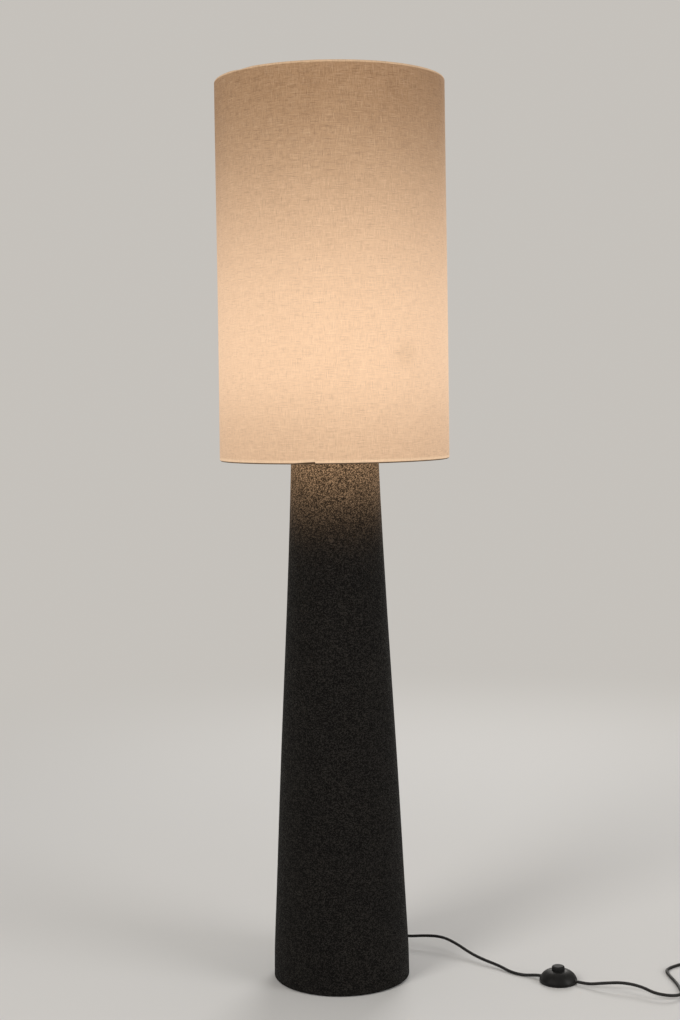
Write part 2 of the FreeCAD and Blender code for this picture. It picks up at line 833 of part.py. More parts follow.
# Foot switch: a domed case on a round base, with a sprung button over a ratchet wheel
switch_wall = 2.0
switch_band_height = 4.0
switch_dome_height = 20.0
switch_dome_radius = 12.8
switch_dome_mid_radius = 25.2
switch_dome_mid_height = 14.2
switch_pad_thickness = 1.0
switch_pad_inset = 3.0
switch_base_thickness = 2.2
button_radius = 10.6
button_top = 27.0
button_travel = 4.0
button_rounding = 3.0
button_wall = 2.0
button_flange_radius = 12.3
button_flange_thickness = 1.5
post_radius = 2.0
wheel_radius = 8.5
wheel_thickness = 4.0
wheel_teeth = 8
wheel_tooth_depth = 1.5
spring_radius = 5.0
spring_wire_radius = 0.45
spring_turns = 5
case_bottom = switch_pad_thickness
base_top = case_bottom + switch_base_thickness
wheel_bottom = base_top + running_gap
wheel_top = wheel_bottom + wheel_thickness
button_ceiling = button_top - button_wall
spring_bottom = wheel_top + wheel_tooth_depth
case_screw_radius = 1.5
case_screw_head_radius = 2.6
case_screw_head_inset = 0.4
case_screw_circle = 19.0
case_screw_angle = 90
case_screw_length = 5.4
contact_width = 4.0
contact_thickness = 0.6
terminal_radius = 2.4
terminal_angle = 38
terminal_height = 4.0
clamp_height = 1.6
clamp_width = 5.0
clamp_length = 15.0
clamp_start = inside_switch_share * switch_radius


def at_switch(shape):
    """Moves a piece made round the origin, its cord along X, to the switch's place on the floor."""
    shape.rotate(ORIGIN, UP, switch_axis_angle)
    shape.translate(Vector(switch_x, switch_y, 0))
    return shape


def dome(inset):
    """Turned solid under the dome, set in by the wall where it is the inside of the case."""
    rim = switch_radius - inset
    crown = switch_dome_radius
    low = Vector(rim, 0, case_bottom)
    band_top = Vector(rim, 0, case_bottom + switch_band_height)
    top = Vector(crown, 0, switch_dome_height - inset)
    lean = math.sqrt(0.5)
    middle = Vector(switch_dome_mid_radius - inset * lean, 0, switch_dome_mid_height - inset * lean)
    edges = [line(low, band_top), arc(band_top, middle, top), line(top, Vector(0, 0, top.z)),
             line(Vector(0, 0, top.z), Vector(0, 0, low.z)), line(Vector(0, 0, low.z), low)]
    return Part.Face(Part.Wire(edges)).revolve(ORIGIN, UP, 360)


def cord_passages(radius, start, end):
    """The cord's way in on one side of the switch and out on the other."""
    passage = Part.makeCylinder(radius, end - start, Vector(start, 0, cord_in_switch_height), OUT)
    return around(passage, 2)


def switch_cover():
    shell = dome(0).cut(dome(switch_wall))
    hole = rod(button_radius + running_gap, 0, button_top)
    boss = rod(2 * case_screw_radius, base_top, switch_dome_height, case_screw_circle)
    pilot = rod(case_screw_radius, 0, case_bottom + case_screw_length + pilot_gap / 2, case_screw_circle)
    bosses = around(boss.common(dome(switch_wall / 2)).cut(pilot), 2, case_screw_angle)
    passage_radius = cord_radius + running_gap
    passages = cord_passages(passage_radius, switch_radius - 4 * switch_wall, switch_radius + overrun)
    shell = shell.fuse(bosses).cut([hole] + passages)
    return at_switch(shell.removeSplitter())


def switch_base():
    """Round floor with a post for the wheel and a cradle for the cord on each side."""
    radius = switch_radius - switch_wall - seat_gap
    floor = rod(radius, case_bottom, base_top)
    post = rod(post_radius, base_top - overrun, spring_bottom + spring_radius)
    cradle = block(Vector(clamp_start, -clamp_length / 2, base_top - overrun),
                   Vector(clamp_start + clamp_width, clamp_length / 2, cord_in_switch_height))
    hole = rod(case_screw_radius + seat_gap, 0, base_top + overrun, case_screw_circle)
    holes = around(hole, 2, case_screw_angle)
    channels = cord_passages(cord_radius + seat_gap, clamp_start - overrun, switch_radius)
    return at_switch(floor.fuse([post] + around(cradle, 2)).cut(holes + channels).removeSplitter())


def switch_pad():
    """Non-slip ring under the switch."""
    radius = switch_radius - switch_wall - switch_pad_inset
    hole_radius = case_screw_circle + case_screw_head_radius + seat_gap
    return at_switch(tube(hole_radius, radius, 0, switch_pad_thickness))


def switch_button():
    low = switch_dome_height - switch_wall - running_gap - button_flange_thickness
    flange_top = low + button_flange_thickness
    inside = button_radius - button_wall
    cap = turned((inside, low), (button_flange_radius, low), (button_flange_radius, flange_top),
                 (button_radius, flange_top), (button_radius, button_top, button_rounding), (0, button_top),
                 (0, button_ceiling), (inside, button_ceiling))
    return at_switch(cap)


def switch_spring():
    """Open coil spring between the wheel and the button's ceiling."""
    height = button_ceiling - spring_bottom - 2 * spring_wire_radius - 2 * seat_gap
    pitch = height / spring_turns
    helix = Part.makeHelix(pitch, height, spring_radius)
    start_way = BACK * (math.tau * spring_radius) + UP * pitch
    section = Part.Wire([Part.Circle(OUT * spring_radius, start_way, spring_wire_radius).toShape()])
    wire = Part.Wire(helix.Edges).makePipeShell([section], True, True)
    wire.translate(Vector(0, 0, spring_bottom + spring_wire_radius + seat_gap))
    return at_switch(wire)


def switch_rotor():
    """Ratchet wheel: saw teeth on top step it round at each press."""
    wheel = tube(post_radius + seat_gap, wheel_radius, wheel_bottom, wheel_top)
    inner = spring_radius + 2 * spring_wire_radius + running_gap
    tooth_run = inner * math.radians(360 / wheel_teeth)
    root = Vector(spring_radius, 0, wheel_top)
    crest = root + UP * wheel_tooth_depth
    toe = root + BACK * tooth_run
    tooth = Part.Face(Part.makePolygon([root, crest, toe, root])).extrude(OUT * wheel_radius)
    tooth = tooth.common(rod(wheel_radius, wheel_top, spring_bottom))
    seat = tube(post_radius + seat_gap, inner, wheel_top, spring_bottom)
    return at_switch(wheel.fuse([seat] + around(tooth, wheel_teeth)).removeSplitter())


def switch_contacts():
    """Brass strips under the terminals; two of them have a blade that stands beside the wheel."""
    start = wheel_radius + wheel_tooth_depth + running_gap
    strip_top = base_top + contact_thickness
    half_width = contact_width / 2
    foot = block(Vector(start, -half_width, base_top), Vector(case_screw_circle, half_width, strip_top))
    blade_end = start + contact_thickness
    blade = block(Vector(start, -half_width, base_top), Vector(blade_end, half_width, wheel_top))
    switched = around(foot.fuse(blade), 2, terminal_angle)
    straight = around(foot, 2, -terminal_angle)
    return at_switch(Part.makeCompound(switched + straight))


def switch_terminals():
    """Slotted screws, one on each strip."""
    bottom = base_top + contact_thickness
    top = bottom + terminal_height
    circle = case_screw_circle - terminal_radius
    slot = block(Vector(circle - terminal_radius, -contact_thickness / 2, top - contact_thickness),
                 Vector(circle + terminal_radius, contact_thickness / 2, top + overrun))
    screw = rod(terminal_radius, bottom, top, circle).cut(slot)
    return at_switch(Part.makeCompound(around(screw, 2, terminal_angle) + around(screw, 2, -terminal_angle)))


def switch_clamps():
    """A bridge over the cord on each side, held down on the base's cradle."""
    low = cord_in_switch_height + seat_gap
    high = cord_in_switch_height + cord_radius + clamp_height
    bridge = block(Vector(clamp_start, -clamp_length / 2, low),
                   Vector(clamp_start + clamp_width, clamp_length / 2, high))
    bridge = bridge.cut(cord_passages(cord_radius + seat_gap, clamp_start - overrun, switch_radius))
    return at_switch(Part.makeCompound(around(bridge, 2)))


def switch_screws():
    """Screws from below that draw the cover down on the base."""
    tip = case_bottom + case_screw_length
    shank = rod(case_screw_radius - thread_gap, case_bottom, tip, case_screw_circle)
    head = rod(case_screw_head_radius, case_screw_head_inset, case_bottom, case_screw_circle)
    return at_switch(Part.makeCompound(around(shank.fuse(head), 2, case_screw_angle)))


# Plug: a flat two-pin plug with a ribbed, tapered neck, lying on the floor beside the coil
plug_length = 36.0
plug_width = 35.3
plug_thickness = 2 * plug_axis_height
plug_face_thickness = 2.5
plug_waist = 26.0
plug_neck_length = 25.0
plug_neck_root_radius = 5.2
plug_neck_tip_radius = 3.6
plug_neck_grooves = 5
plug_groove_width = 1.6
plug_groove_depth = 0.9
plug_rounding = 3.0
pin_radius = 2.0
pin_length = 19.0
pin_spacing = 18.6
pin_sleeve_length = 10.0
pin_root = 8.0
pin_sleeve_radius = 1.8
pin_waist_radius = 1.6
plug_start = coil_x + coil_lead_out
plug_body_start = plug_start + plug_neck_length
plug_face_start = plug_body_start + plug_length - plug_face_thickness
plug_end = plug_body_start + plug_length


def at_plug(shape):
    """Turns a piece made along Z to lie along +X on the plug's axis."""
    shape.rotate(ORIGIN, BACK, 90)
    shape.translate(Vector(0, coil_front_y, plug_axis_height))
    return shape


def at_both_pins(shape):
    copies = []
    for side in (1, -1):
        copy = at_plug(shape.copy())
        copy.translate(BACK * (side * pin_spacing / 2))
        copies.append(copy)
    return copies


def pin_holes(start, end):
    return at_both_pins(rod(pin_waist_radius + seat_gap, start, end))


def plug_outline(length_from, length_to):
    """Plan of the plug between two places: a waist near the neck that swells to the full width."""
    half_waist, half_width = plug_waist / 2, plug_width / 2
    swell = plug_body_start + plug_length / 2
    corners = [Vector(length_from, -half_waist, 0), Vector(swell, -half_width, 0),
               Vector(length_to, -half_width, 0), Vector(length_to, half_width, 0),
               Vector(swell, half_width, 0), Vector(length_from, half_waist, 0)]
    radii = [2 * plug_rounding, plug_length / 3, 0, 0, plug_length / 3, 2 * plug_rounding]
    return Part.Face(Part.Wire(rounded_edges(corners, radii, closed=True)))


def plug_body():
    body = plug_outline(plug_body_start, plug_face_start).extrude(UP * plug_thickness)
    long_edges = [edge for edge in body.Edges if edge.BoundBox.ZLength < seat_gap
                  and edge.BoundBox.XMin < plug_face_start - seat_gap]
    body = body.makeFillet(plug_rounding, long_edges)
    body.translate(Vector(0, coil_front_y, 0))
    inside_body = plug_body_start + plug_rounding
    neck = turned((0, plug_start), (plug_neck_tip_radius, plug_start), (plug_neck_root_radius, inside_body),
                  (0, inside_body))
    for groove in range(1, plug_neck_grooves + 1):
        share = groove / (plug_neck_grooves + 1)
        low = plug_start + share * plug_neck_length
        radius = plug_neck_tip_radius + share * (plug_neck_root_radius - plug_neck_tip_radius)
        neck = neck.cut(tube(radius - plug_groove_depth, 2 * radius, low, low + plug_groove_width))
    body = body.fuse(at_plug(neck))
    return body.cut(pin_holes(plug_face_start - pin_root, plug_face_start + overrun))


def plug_face():
    """Insulating face plate that the pins stand in."""
    plan = plug_outline(plug_body_start, plug_end).extrude(UP * plug_thickness)
    plan.translate(Vector(0, coil_front_y, 0))
    keep = block(Vector(plug_face_start, -total_height, 0), Vector(plug_end, total_height, plug_thickness))
    plate = plan.common(keep)
    ends = [edge for edge in plate.Edges if edge.BoundBox.XLength > plug_face_thickness / 2]
    plate = plate.makeFillet(plug_rounding, ends)
    return plate.cut(pin_holes(plug_face_start - overrun, plug_end + overrun))


def plug_pins():
    """Round pins, thinner from their roots to the end of their sleeves."""
    root = plug_face_start - pin_root
    sleeve_end = plug_end + pin_sleeve_length
    tip = plug_end + pin_length
    pin = turned((0, root), (pin_waist_radius, root), (pin_waist_radius, sleeve_end),
                 (pin_radius, sleeve_end), (pin_radius, tip, pin_radius / 2), (0, tip))
    return Part.makeCompound(at_both_pins(pin))


def plug_sleeves():
    sleeve = tube(pin_waist_radius, pin_sleeve_radius, plug_end, plug_end + pin_sleeve_length)
    return Part.makeCompound(at_both_pins(sleeve))


pieces = {
    "base_shell": base_shell,
    "bottom_cover": bottom_cover,
    "floor_pads": floor_pads,
    "cover_screws": cover_screws,
    "tie_plate": tie_plate,
    "ballast_weight": ballast_weight,
    "threaded_rod": threaded_rod,
    "lower_washer": lower_washer,
    "lower_nut": lower_nut,
    "top_cap": top_cap,
    "neck_sleeve": neck_sleeve,
    "holder_cap": holder_cap,
    "holder_body": holder_body,
    "holder_insert": holder_insert,
    "holder_screw_shell": holder_screw_shell,
    "holder_contact": holder_contact,
    "holder_terminal_screws": holder_terminal_screws,
    "shade_ring_lower": lambda: clamp_ring(hub_bottom - ring_height),
    "shade_ring_upper": lambda: clamp_ring(hub_top),
    "bulb_glass": bulb_glass,
    "bulb_cap": bulb_cap,
    "bulb_insulator": bulb_insulator,
    "bulb_contact": bulb_contact,
    "bulb_stem": bulb_stem,
    "bulb_filaments": bulb_filaments,
    "shade_carrier": shade_carrier,
    "shade_top_ring": shade_top_ring,
    "shade_liner": shade_liner,
    "shade_fabric": shade_fabric,
    "cord_gland": cord_gland,
    "gland_nut": gland_nut,
    "inner_cord": inner_cord,
    "cord_base_to_switch": lambda: free_cord("cord_base_to_switch", base_to_switch_route),
    "switch_pad": switch_pad,
    "switch_base": switch_base,
    "switch_cover": switch_cover,
    "switch_button": switch_button,
    "switch_spring": switch_spring,
    "switch_rotor": switch_rotor,
    "switch_contacts": switch_contacts,
    "switch_terminals": switch_terminals,
    "switch_clamps": switch_clamps,
    "switch_screws": switch_screws,
    "cord_switch_to_coil": lambda: free_cord("cord_switch_to_coil", switch_to_coil_route),
    "cord_coil": cord_coil,
    "plug_body": plug_body,
    "plug_face": plug_face,
    "plug_pins": plug_pins,
    "plug_sleeves": plug_sleeves,
}

for node, make in pieces.items():
    save(make(), node)
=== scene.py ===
import math

import bmesh
import bpy
from mathutils import Matrix, Vector


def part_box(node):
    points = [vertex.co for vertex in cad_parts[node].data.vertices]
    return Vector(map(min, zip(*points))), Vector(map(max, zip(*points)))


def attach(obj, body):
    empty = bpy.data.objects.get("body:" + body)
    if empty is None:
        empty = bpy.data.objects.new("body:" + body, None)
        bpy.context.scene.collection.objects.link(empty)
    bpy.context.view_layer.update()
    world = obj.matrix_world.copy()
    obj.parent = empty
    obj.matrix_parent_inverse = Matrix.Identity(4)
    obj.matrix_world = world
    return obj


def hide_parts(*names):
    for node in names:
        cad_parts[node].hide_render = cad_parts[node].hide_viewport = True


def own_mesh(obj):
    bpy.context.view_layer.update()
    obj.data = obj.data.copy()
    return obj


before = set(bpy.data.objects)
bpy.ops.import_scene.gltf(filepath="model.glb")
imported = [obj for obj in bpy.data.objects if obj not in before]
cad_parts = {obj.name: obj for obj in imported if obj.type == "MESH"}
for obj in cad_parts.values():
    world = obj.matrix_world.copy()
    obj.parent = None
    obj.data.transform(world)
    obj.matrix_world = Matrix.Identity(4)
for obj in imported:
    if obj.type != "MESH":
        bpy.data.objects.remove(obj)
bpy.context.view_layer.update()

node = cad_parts


# Column: one hollow shell that tapers in a long, faint S, cast in dark clay and fired matt black.
# Its skin is eaten all over by fine winding pits a few millimetres long, with worn crests between them.

# Functions that build node trees, for the column's skin here and for every finish further on
def new_socket(tree, label, way, start):
    """A named socket of a group, for a vector if its start value is one and for a number otherwise."""
    kind = "NodeSocketVector" if isinstance(start, tuple) else "NodeSocketFloat"
    socket = tree.interface.new_socket(label, in_out=way, socket_type=kind)
    socket.default_value = start


def new_group(name, inputs, outputs):
    """A shader node group, with what it is given and what it makes; both map names to start values."""
    tree = bpy.data.node_groups.new(name, "ShaderNodeTree")
    for label, start in inputs.items():
        new_socket(tree, label, "INPUT", start)
    for label, start in outputs.items():
        new_socket(tree, label, "OUTPUT", start)
    return tree, tree.nodes.new("NodeGroupInput").outputs, tree.nodes.new("NodeGroupOutput").inputs


def feed(tree, inputs, sources):
    """Feeds each input that is named from another node's output, or sets it to a plain value."""
    for key, source in sources.items():
        if isinstance(source, bpy.types.NodeSocket):
            tree.links.new(source, inputs[key])
        else:
            inputs[key].default_value = source


def add(tree, kind, sources=None, **settings):
    """A new node with its settings, fed from its sources."""
    new_node = tree.nodes.new(kind)
    for key, value in settings.items():
        setattr(new_node, key, value)
    feed(tree, new_node.inputs, sources or {})
    return new_node


def math_node(tree, operation, *values):
    """One step of arithmetic on numbers or number sockets."""
    return add(tree, "ShaderNodeMath", dict(enumerate(values)), operation=operation).outputs[0]


def vector_node(tree, operation, *values):
    """One step of arithmetic on vectors; its result is a Vector, or a Value for a length or a distance."""
    return add(tree, "ShaderNodeVectorMath", dict(enumerate(values)), operation=operation).outputs


def ramp(tree, value, low, high, from_low=0.0, from_high=1.0):
    """The value eased from one range to another, held at both ends."""
    sources = {"Value": value, "From Min": from_low, "From Max": from_high, "To Min": low, "To Max": high}
    return add(tree, "ShaderNodeMapRange", sources, interpolation_type="SMOOTHSTEP").outputs["Result"]


def mix_colour(tree, share, first, second):
    """The first colour where the share is 0, the second where it is 1."""
    # This node's socket names repeat for each kind of value, so the colours go by number
    return add(tree, "ShaderNodeMix", {0: share, 6: first, 7: second}, data_type="RGBA").outputs[2]


def noise(tree, place, per_metre, detail, roughness=0.5):
    """Cloudy noise from 0 to 1, with so many clouds in a metre."""
    sources = {"Vector": place, "Scale": per_metre, "Detail": detail, "Roughness": roughness}
    return add(tree, "ShaderNodeTexNoise", sources).outputs[0]


def bump(tree, height, depth, under=None):
    """A normal from a height of so many metres, laid over another normal if there is one."""
    sources = {"Height": height, "Distance": depth, "Strength": 1.0}
    if under is not None:
        sources["Normal"] = under
    return add(tree, "ShaderNodeBump", sources).outputs["Normal"]


def object_place(tree):
    """The place on the piece, in metres from the piece's own origin."""
    return add(tree, "ShaderNodeTexCoord").outputs["Object"]


def with_spaces(labels):
    """Socket names have spaces where the names of arguments have underscores."""
    return {label.replace("_", " "): value for label, value in labels.items()}


def use_group(tree, group, **sources):
    """A group placed in a material, with its own sources, and what it makes there."""
    placed = tree.nodes.new("ShaderNodeGroup")
    placed.node_tree = group
    feed(tree, placed.inputs, with_spaces(sources))
    return placed.outputs


def new_material(name, **constants):
    """A material with one Principled shader, whose constants are set on the shader's own sockets."""
    material = bpy.data.materials.new(name)
    material.use_nodes = True
    tree = material.node_tree
    shader = tree.nodes["Principled BSDF"].inputs
    feed(tree, shader, with_spaces(constants))
    return material, tree, shader


sharp_edge = math.radians(32)


def dress(material, *names):
    """Gives the material to nodes of the frame, and shades them smooth but for their real edges."""
    for name in names:
        mesh = node[name].data
        mesh.materials.clear()
        mesh.materials.append(material)
        mesh.shade_smooth()
        mesh.set_sharp_from_angle(angle=sharp_edge)


# Mottle: slow cloudy change that breaks up any even surface
mottle, given, made = new_group(
    "mottle", inputs={"Place": (0, 0, 0), "Size": 0.05, "Low": 0.0, "High": 1.0}, outputs={"Value": 0.0})
scale = math_node(mottle, "DIVIDE", 1.0, given["Size"])
clouds = noise(mottle, given["Place"], scale, detail=4.0, roughness=0.55)
value = ramp(mottle, clouds, given["Low"], given["High"], from_low=0.32, from_high=0.68)
feed(mottle, made, {"Value": value})

# Pitting: short winding pits between worn crests
pit_squash = (1.0, 1.0, 1.35)
pit_warp = 0.9
worms_per_pit = 0.8
crater_share = 0.6
pitting, given, made = new_group(
    "pitting", inputs={"Place": (0, 0, 0), "Pit size": 0.004}, outputs={"Height": 0.0, "Pits": 0.0})
scale = math_node(pitting, "DIVIDE", 1.0, given["Pit size"])
squashed = vector_node(pitting, "MULTIPLY", given["Place"], pit_squash)["Vector"]
swirl = add(pitting, "ShaderNodeTexNoise", {"Vector": squashed, "Scale": scale, "Detail": 2.0})
way = vector_node(pitting, "SUBTRACT", swirl.outputs["Color"], (0.5, 0.5, 0.5))["Vector"]
reach = math_node(pitting, "MULTIPLY", given["Pit size"], pit_warp)
moved = add(pitting, "ShaderNodeVectorMath", {0: way, "Scale": reach}, operation="SCALE").outputs["Vector"]
warped = vector_node(pitting, "ADD", squashed, moved)["Vector"]
cells = add(pitting, "ShaderNodeTexVoronoi", {"Vector": warped, "Scale": scale, "Randomness": 1.0},
            feature="DISTANCE_TO_EDGE").outputs["Distance"]
worm_scale = math_node(pitting, "MULTIPLY", scale, worms_per_pit)
worms = noise(pitting, warped, worm_scale, detail=3.0, roughness=0.6)
from_worm = math_node(pitting, "ABSOLUTE", math_node(pitting, "SUBTRACT", worms, 0.5))
channels = ramp(pitting, from_worm, 0.0, 1.0, from_low=0.015, from_high=0.085)
craters = ramp(pitting, cells, 0.0, 1.0, from_low=0.04, from_high=0.22)
softened = math_node(pitting, "MULTIPLY_ADD", craters, crater_share, 1 - crater_share)
height = math_node(pitting, "MULTIPLY", channels, softened)
pits = ramp(pitting, height, 1.0, 0.0, from_low=0.1, from_high=0.75)
feed(pitting, made, {"Height": height, "Pits": pits})

pit_size = 0.0034
pit_depth = 0.0009
clay_grain_depth = 0.00015
clay_rough = 0.62
pits_rougher = 0.3
column_crest = (0.021, 0.019, 0.017, 1)
# Colour in the pits: painted shade, darker than the crests
column_pit_shade = (0.002, 0.0018, 0.0016, 1)
column_dust = (0.031, 0.0275, 0.0235, 1)
lamplight = (0.435, 0.262, 0.140, 1)
lamplight_low = 0.60
lamplight_high = 0.88
lamplight_fall = 4.2
unlit = (0.0, 0.0, 0.0, 1)
clay, tree, shader = new_material("pitted_black_clay", Specular_IOR_Level=0.12, Emission_Strength=1.0)
place = object_place(tree)
skin = use_group(tree, pitting, Place=place, Pit_size=pit_size)
dusty = use_group(tree, mottle, Place=place, Size=0.09, Low=0.0, High=0.55)["Value"]
crest = mix_colour(tree, dusty, column_crest, column_dust)
grain = bump(tree, noise(tree, place, 1400.0, detail=2.0), clay_grain_depth)

# Painted lamplight: an emission colour on the column's head stands in for the lit lamp's warm light, which
# catches the crests and fades downwards
height = add(tree, "ShaderNodeSeparateXYZ", {0: place}).outputs["Z"]
lit_share = ramp(tree, height, 0.0, 1.0, lamplight_low, lamplight_high)
reached = math_node(tree, "POWER", lit_share, lamplight_fall)
caught = math_node(tree, "MULTIPLY", reached, ramp(tree, skin["Pits"], 1.0, 0.1))
feed(tree, shader, {
    # Base colour darker in the pits: painted shade
    "Base Color": mix_colour(tree, skin["Pits"], crest, column_pit_shade),
    "Roughness": math_node(tree, "MULTIPLY_ADD", skin["Pits"], pits_rougher, clay_rough),
    "Normal": bump(tree, skin["Height"], pit_depth, grain),
    "Emission Color": mix_colour(tree, caught, unlit, lamplight),
})
dress(clay, "base_shell")


# Foot: a black painted board closes the shell's mouth, held by three countersunk screws.
# Four round felt pads are glued in shallow seats and carry the lamp.
board_black = (0.030, 0.028, 0.026, 1)
board_fibre = (0.060, 0.048, 0.036, 1)
board, tree, shader = new_material("painted_board")
place = object_place(tree)
fibres = noise(tree, place, 900.0, detail=4.0)
worn = use_group(tree, mottle, Place=place, Size=0.03, Low=0.0, High=0.6)["Value"]
feed(tree, shader, {
    "Base Color": mix_colour(tree, worn, board_black, board_fibre),
    "Roughness": ramp(tree, fibres, 0.62, 0.85),
    "Normal": bump(tree, fibres, 0.0002),
})
dress(board, "bottom_cover")


def patchy_finish(name, main, patch, patch_size, patch_share, smooth, rough, grain=None, **constants):
    """A finish with slow patches of a second colour, rougher where the patches are. Its grain, if it has one,
    is the number of grains in a metre, the detail in them and their depth in metres."""
    material, tree, shader = new_material(name, **constants)
    place = object_place(tree)
    patches = use_group(tree, mottle, Place=place, Size=patch_size, Low=0.0, High=patch_share)["Value"]
    feed(tree, shader, {
        "Base Color": mix_colour(tree, patches, main, patch),
        "Roughness": ramp(tree, patches, smooth, rough),
    })
    if grain:
        per_metre, detail, depth = grain
        feed(tree, shader, {"Normal": bump(tree, noise(tree, place, per_metre, detail), depth)})
    return material


zinc = (0.58, 0.585, 0.57, 1)
zinc_dull = (0.40, 0.40, 0.38, 1)
plated = patchy_finish(
    "zinc_plated_steel", zinc, zinc_dull,
    patch_size=0.006, patch_share=1.0, smooth=0.28, rough=0.5,
    grain=(2500.0, 2.0, 0.00004), Metallic=1.0,
)
dress(plated, "cover_screws", "tie_plate", "threaded_rod", "lower_washer", "lower_nut",
      "holder_terminal_screws", "switch_terminals", "switch_screws")


def spin_mesh(name, outline, sides, wobble=None, ends_closed=False):
    """A mesh turned about Z from radius and height pairs. Its outline comes round to its start, or its two
    ends are closed with flat faces. Wobble says how far out each point is moved."""
    shell = bmesh.new()
    rings = []
    for radius, height in outline:
        ring = []
        for side in range(sides):
            angle = math.tau * side / sides
            out = radius + (wobble(angle, height) if wobble else 0)
            ring.append(shell.verts.new((out * math.cos(angle), out * math.sin(angle), height)))
        rings.append(ring)
    if ends_closed:
        shell.faces.new(rings[0][::-1])
        shell.faces.new(rings[-1])
    upper_rings = rings[1:] if ends_closed else rings[1:] + rings[:1]
    for low, high in zip(rings, upper_rings):
        for side in range(sides):
            after = (side + 1) % sides
            shell.faces.new((low[side], low[after], high[after], high[side]))
    mesh = bpy.data.meshes.new(name)
    shell.to_mesh(mesh)
    shell.free()
    mesh.shade_smooth()
    piece = bpy.data.objects.new(name, mesh)
    bpy.context.scene.collection.objects.link(piece)
    return piece


pad_count = 4
pad_sides = 48
pad_radius = 0.011
pad_height = 0.003
pad_circle = 0.078
pad_round = 0.0011
pad_round_steps = 4
pad_slant = 0.0007
felt_dark = (0.035, 0.034, 0.036, 1)
felt_pale = (0.10, 0.10, 0.105, 1)
felt, tree, shader = new_material("wool_felt", Roughness=0.95, Sheen_Weight=0.4, Sheen_Roughness=0.5)
hair = noise(tree, object_place(tree), 1800.0, detail=5.0, roughness=0.7)
feed(tree, shader, {
    "Base Color": mix_colour(tree, hair, felt_dark, felt_pale),
    "Normal": bump(tree, hair, 0.0005),
})
# Flat where it stands, with a round edge below and a small slant where the seat hides it
pad_outline = [(pad_radius - 2 * pad_round, 0.0)]
for count in range(pad_round_steps + 1):
    angle = math.pi / 2 * count / pad_round_steps
    pad_outline.append((pad_radius - pad_round * (1 - math.sin(angle)), pad_round * (1 - math.cos(angle))))
pad_outline += [
    (pad_radius, pad_height - pad_slant),
    (pad_radius - pad_slant, pad_height),
    (pad_radius - 2 * pad_slant, pad_height),
]
for count in range(pad_count):
    pad = spin_mesh(f"felt_pad_{count + 1}", pad_outline, pad_sides, ends_closed=True)
    angle = math.tau * (count + 0.5) / pad_count
    pad.location = (pad_circle * math.cos(angle), pad_circle * math.sin(angle), 0)
    pad.data.materials.append(felt)
    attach(pad, "lamp")
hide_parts("floor_pads")


# Ballast: a round cast iron weight on the steel plate, drawn up under the shell's ledge by the rod.
# It keeps the tall lamp from tipping.
iron = (0.055, 0.054, 0.053, 1)
iron_rust = (0.13, 0.065, 0.035, 1)
cast_iron = patchy_finish(
    "cast_iron", iron, iron_rust,
    patch_size=0.02, patch_share=0.5, smooth=0.55, rough=0.85,
    grain=(700.0, 4.0, 0.0004), Metallic=0.6,
)
dress(cast_iron, "ballast_weight")


# Top cap and neck: turned steel, powder coated black, clamped on the column's head by the rod.
# The lampholder stands on the neck.
coat_black = (0.010, 0.010, 0.010, 1)
coat_rub = (0.022, 0.021, 0.020, 1)
black_powder_coat = patchy_finish(
    "black_powder_coat", coat_black, coat_rub,
    patch_size=0.015, patch_share=1.0, smooth=0.38, rough=0.52,
    grain=(1100.0, 1.0, 0.00012), Specular_IOR_Level=0.5,
)
dress(black_powder_coat, "top_cap", "neck_sleeve")


# Moulded black plastic: lampholder, clamp rings, gland nut, foot switch and plug.
# It has a fine spark texture from the mould and is a little smoother where it is handled.
plastic_black = (0.006, 0.006, 0.006, 1)
plastic_rub = (0.013, 0.013, 0.013, 1)
moulded, given, made = new_group(
    "moulded_grain",
    inputs={"Place": (0, 0, 0), "Grain size": 0.0006, "Smooth": 0.35, "Rough": 0.55},
    outputs={"Height": 0.0, "Roughness": 0.0, "Rub": 0.0},
)
spark = noise(moulded, given["Place"], math_node(moulded, "DIVIDE", 1.0, given["Grain size"]), detail=2.0)
handled = noise(moulded, given["Place"], 60.0, detail=3.0)
feed(moulded, made, {
    "Height": spark,
    "Roughness": ramp(moulded, handled, given["Rough"], given["Smooth"], from_low=0.35, from_high=0.7),
    "Rub": ramp(moulded, handled, 0.0, 1.0, from_low=0.35, from_high=0.7),
})


def black_plastic(name, grain_size, grain_depth, smooth, rough):
    """The moulded plastic with its grain's size and depth in metres, and its smoothest and roughest."""
    material, tree, shader = new_material(name, Specular_IOR_Level=0.14)
    mould = use_group(tree, moulded, Place=object_place(tree), Grain_size=grain_size,
                      Smooth=smooth, Rough=rough)
    feed(tree, shader, {
        "Base Color": mix_colour(tree, mould["Rub"], plastic_black, plastic_rub),
        "Roughness": mould["Roughness"],
        "Normal": bump(tree, mould["Height"], grain_depth),
    })
    return material


holder_plastic = black_plastic(
    "holder_plastic", grain_size=0.0008, grain_depth=0.00005, smooth=0.38, rough=0.55,
)
dress(holder_plastic, "holder_cap", "holder_body", "shade_ring_lower", "shade_ring_upper", "gland_nut")


# Inside the lampholder: an unglazed ceramic insert, pressed into the body, carries the live parts.
# They are a brass screw shell that holds the bulb's cap and a springy brass contact under its tip.
ceramic = (0.78, 0.76, 0.71, 1)
ceramic_warm = (0.66, 0.62, 0.54, 1)
unglazed_ceramic = patchy_finish(
    "unglazed_ceramic", ceramic, ceramic_warm,
    patch_size=0.008, patch_share=0.7, smooth=0.6, rough=0.8,
)
dress(unglazed_ceramic, "holder_insert")

brass_bright = (0.78, 0.58, 0.27, 1)
brass_dull = (0.52, 0.36, 0.16, 1)
brass = patchy_finish(
    "brass", brass_bright, brass_dull,
    patch_size=0.004, patch_share=1.0, smooth=0.2, rough=0.42,
    Metallic=1.0,
)
dress(brass, "holder_screw_shell", "holder_contact", "bulb_contact", "switch_contacts", "plug_pins")


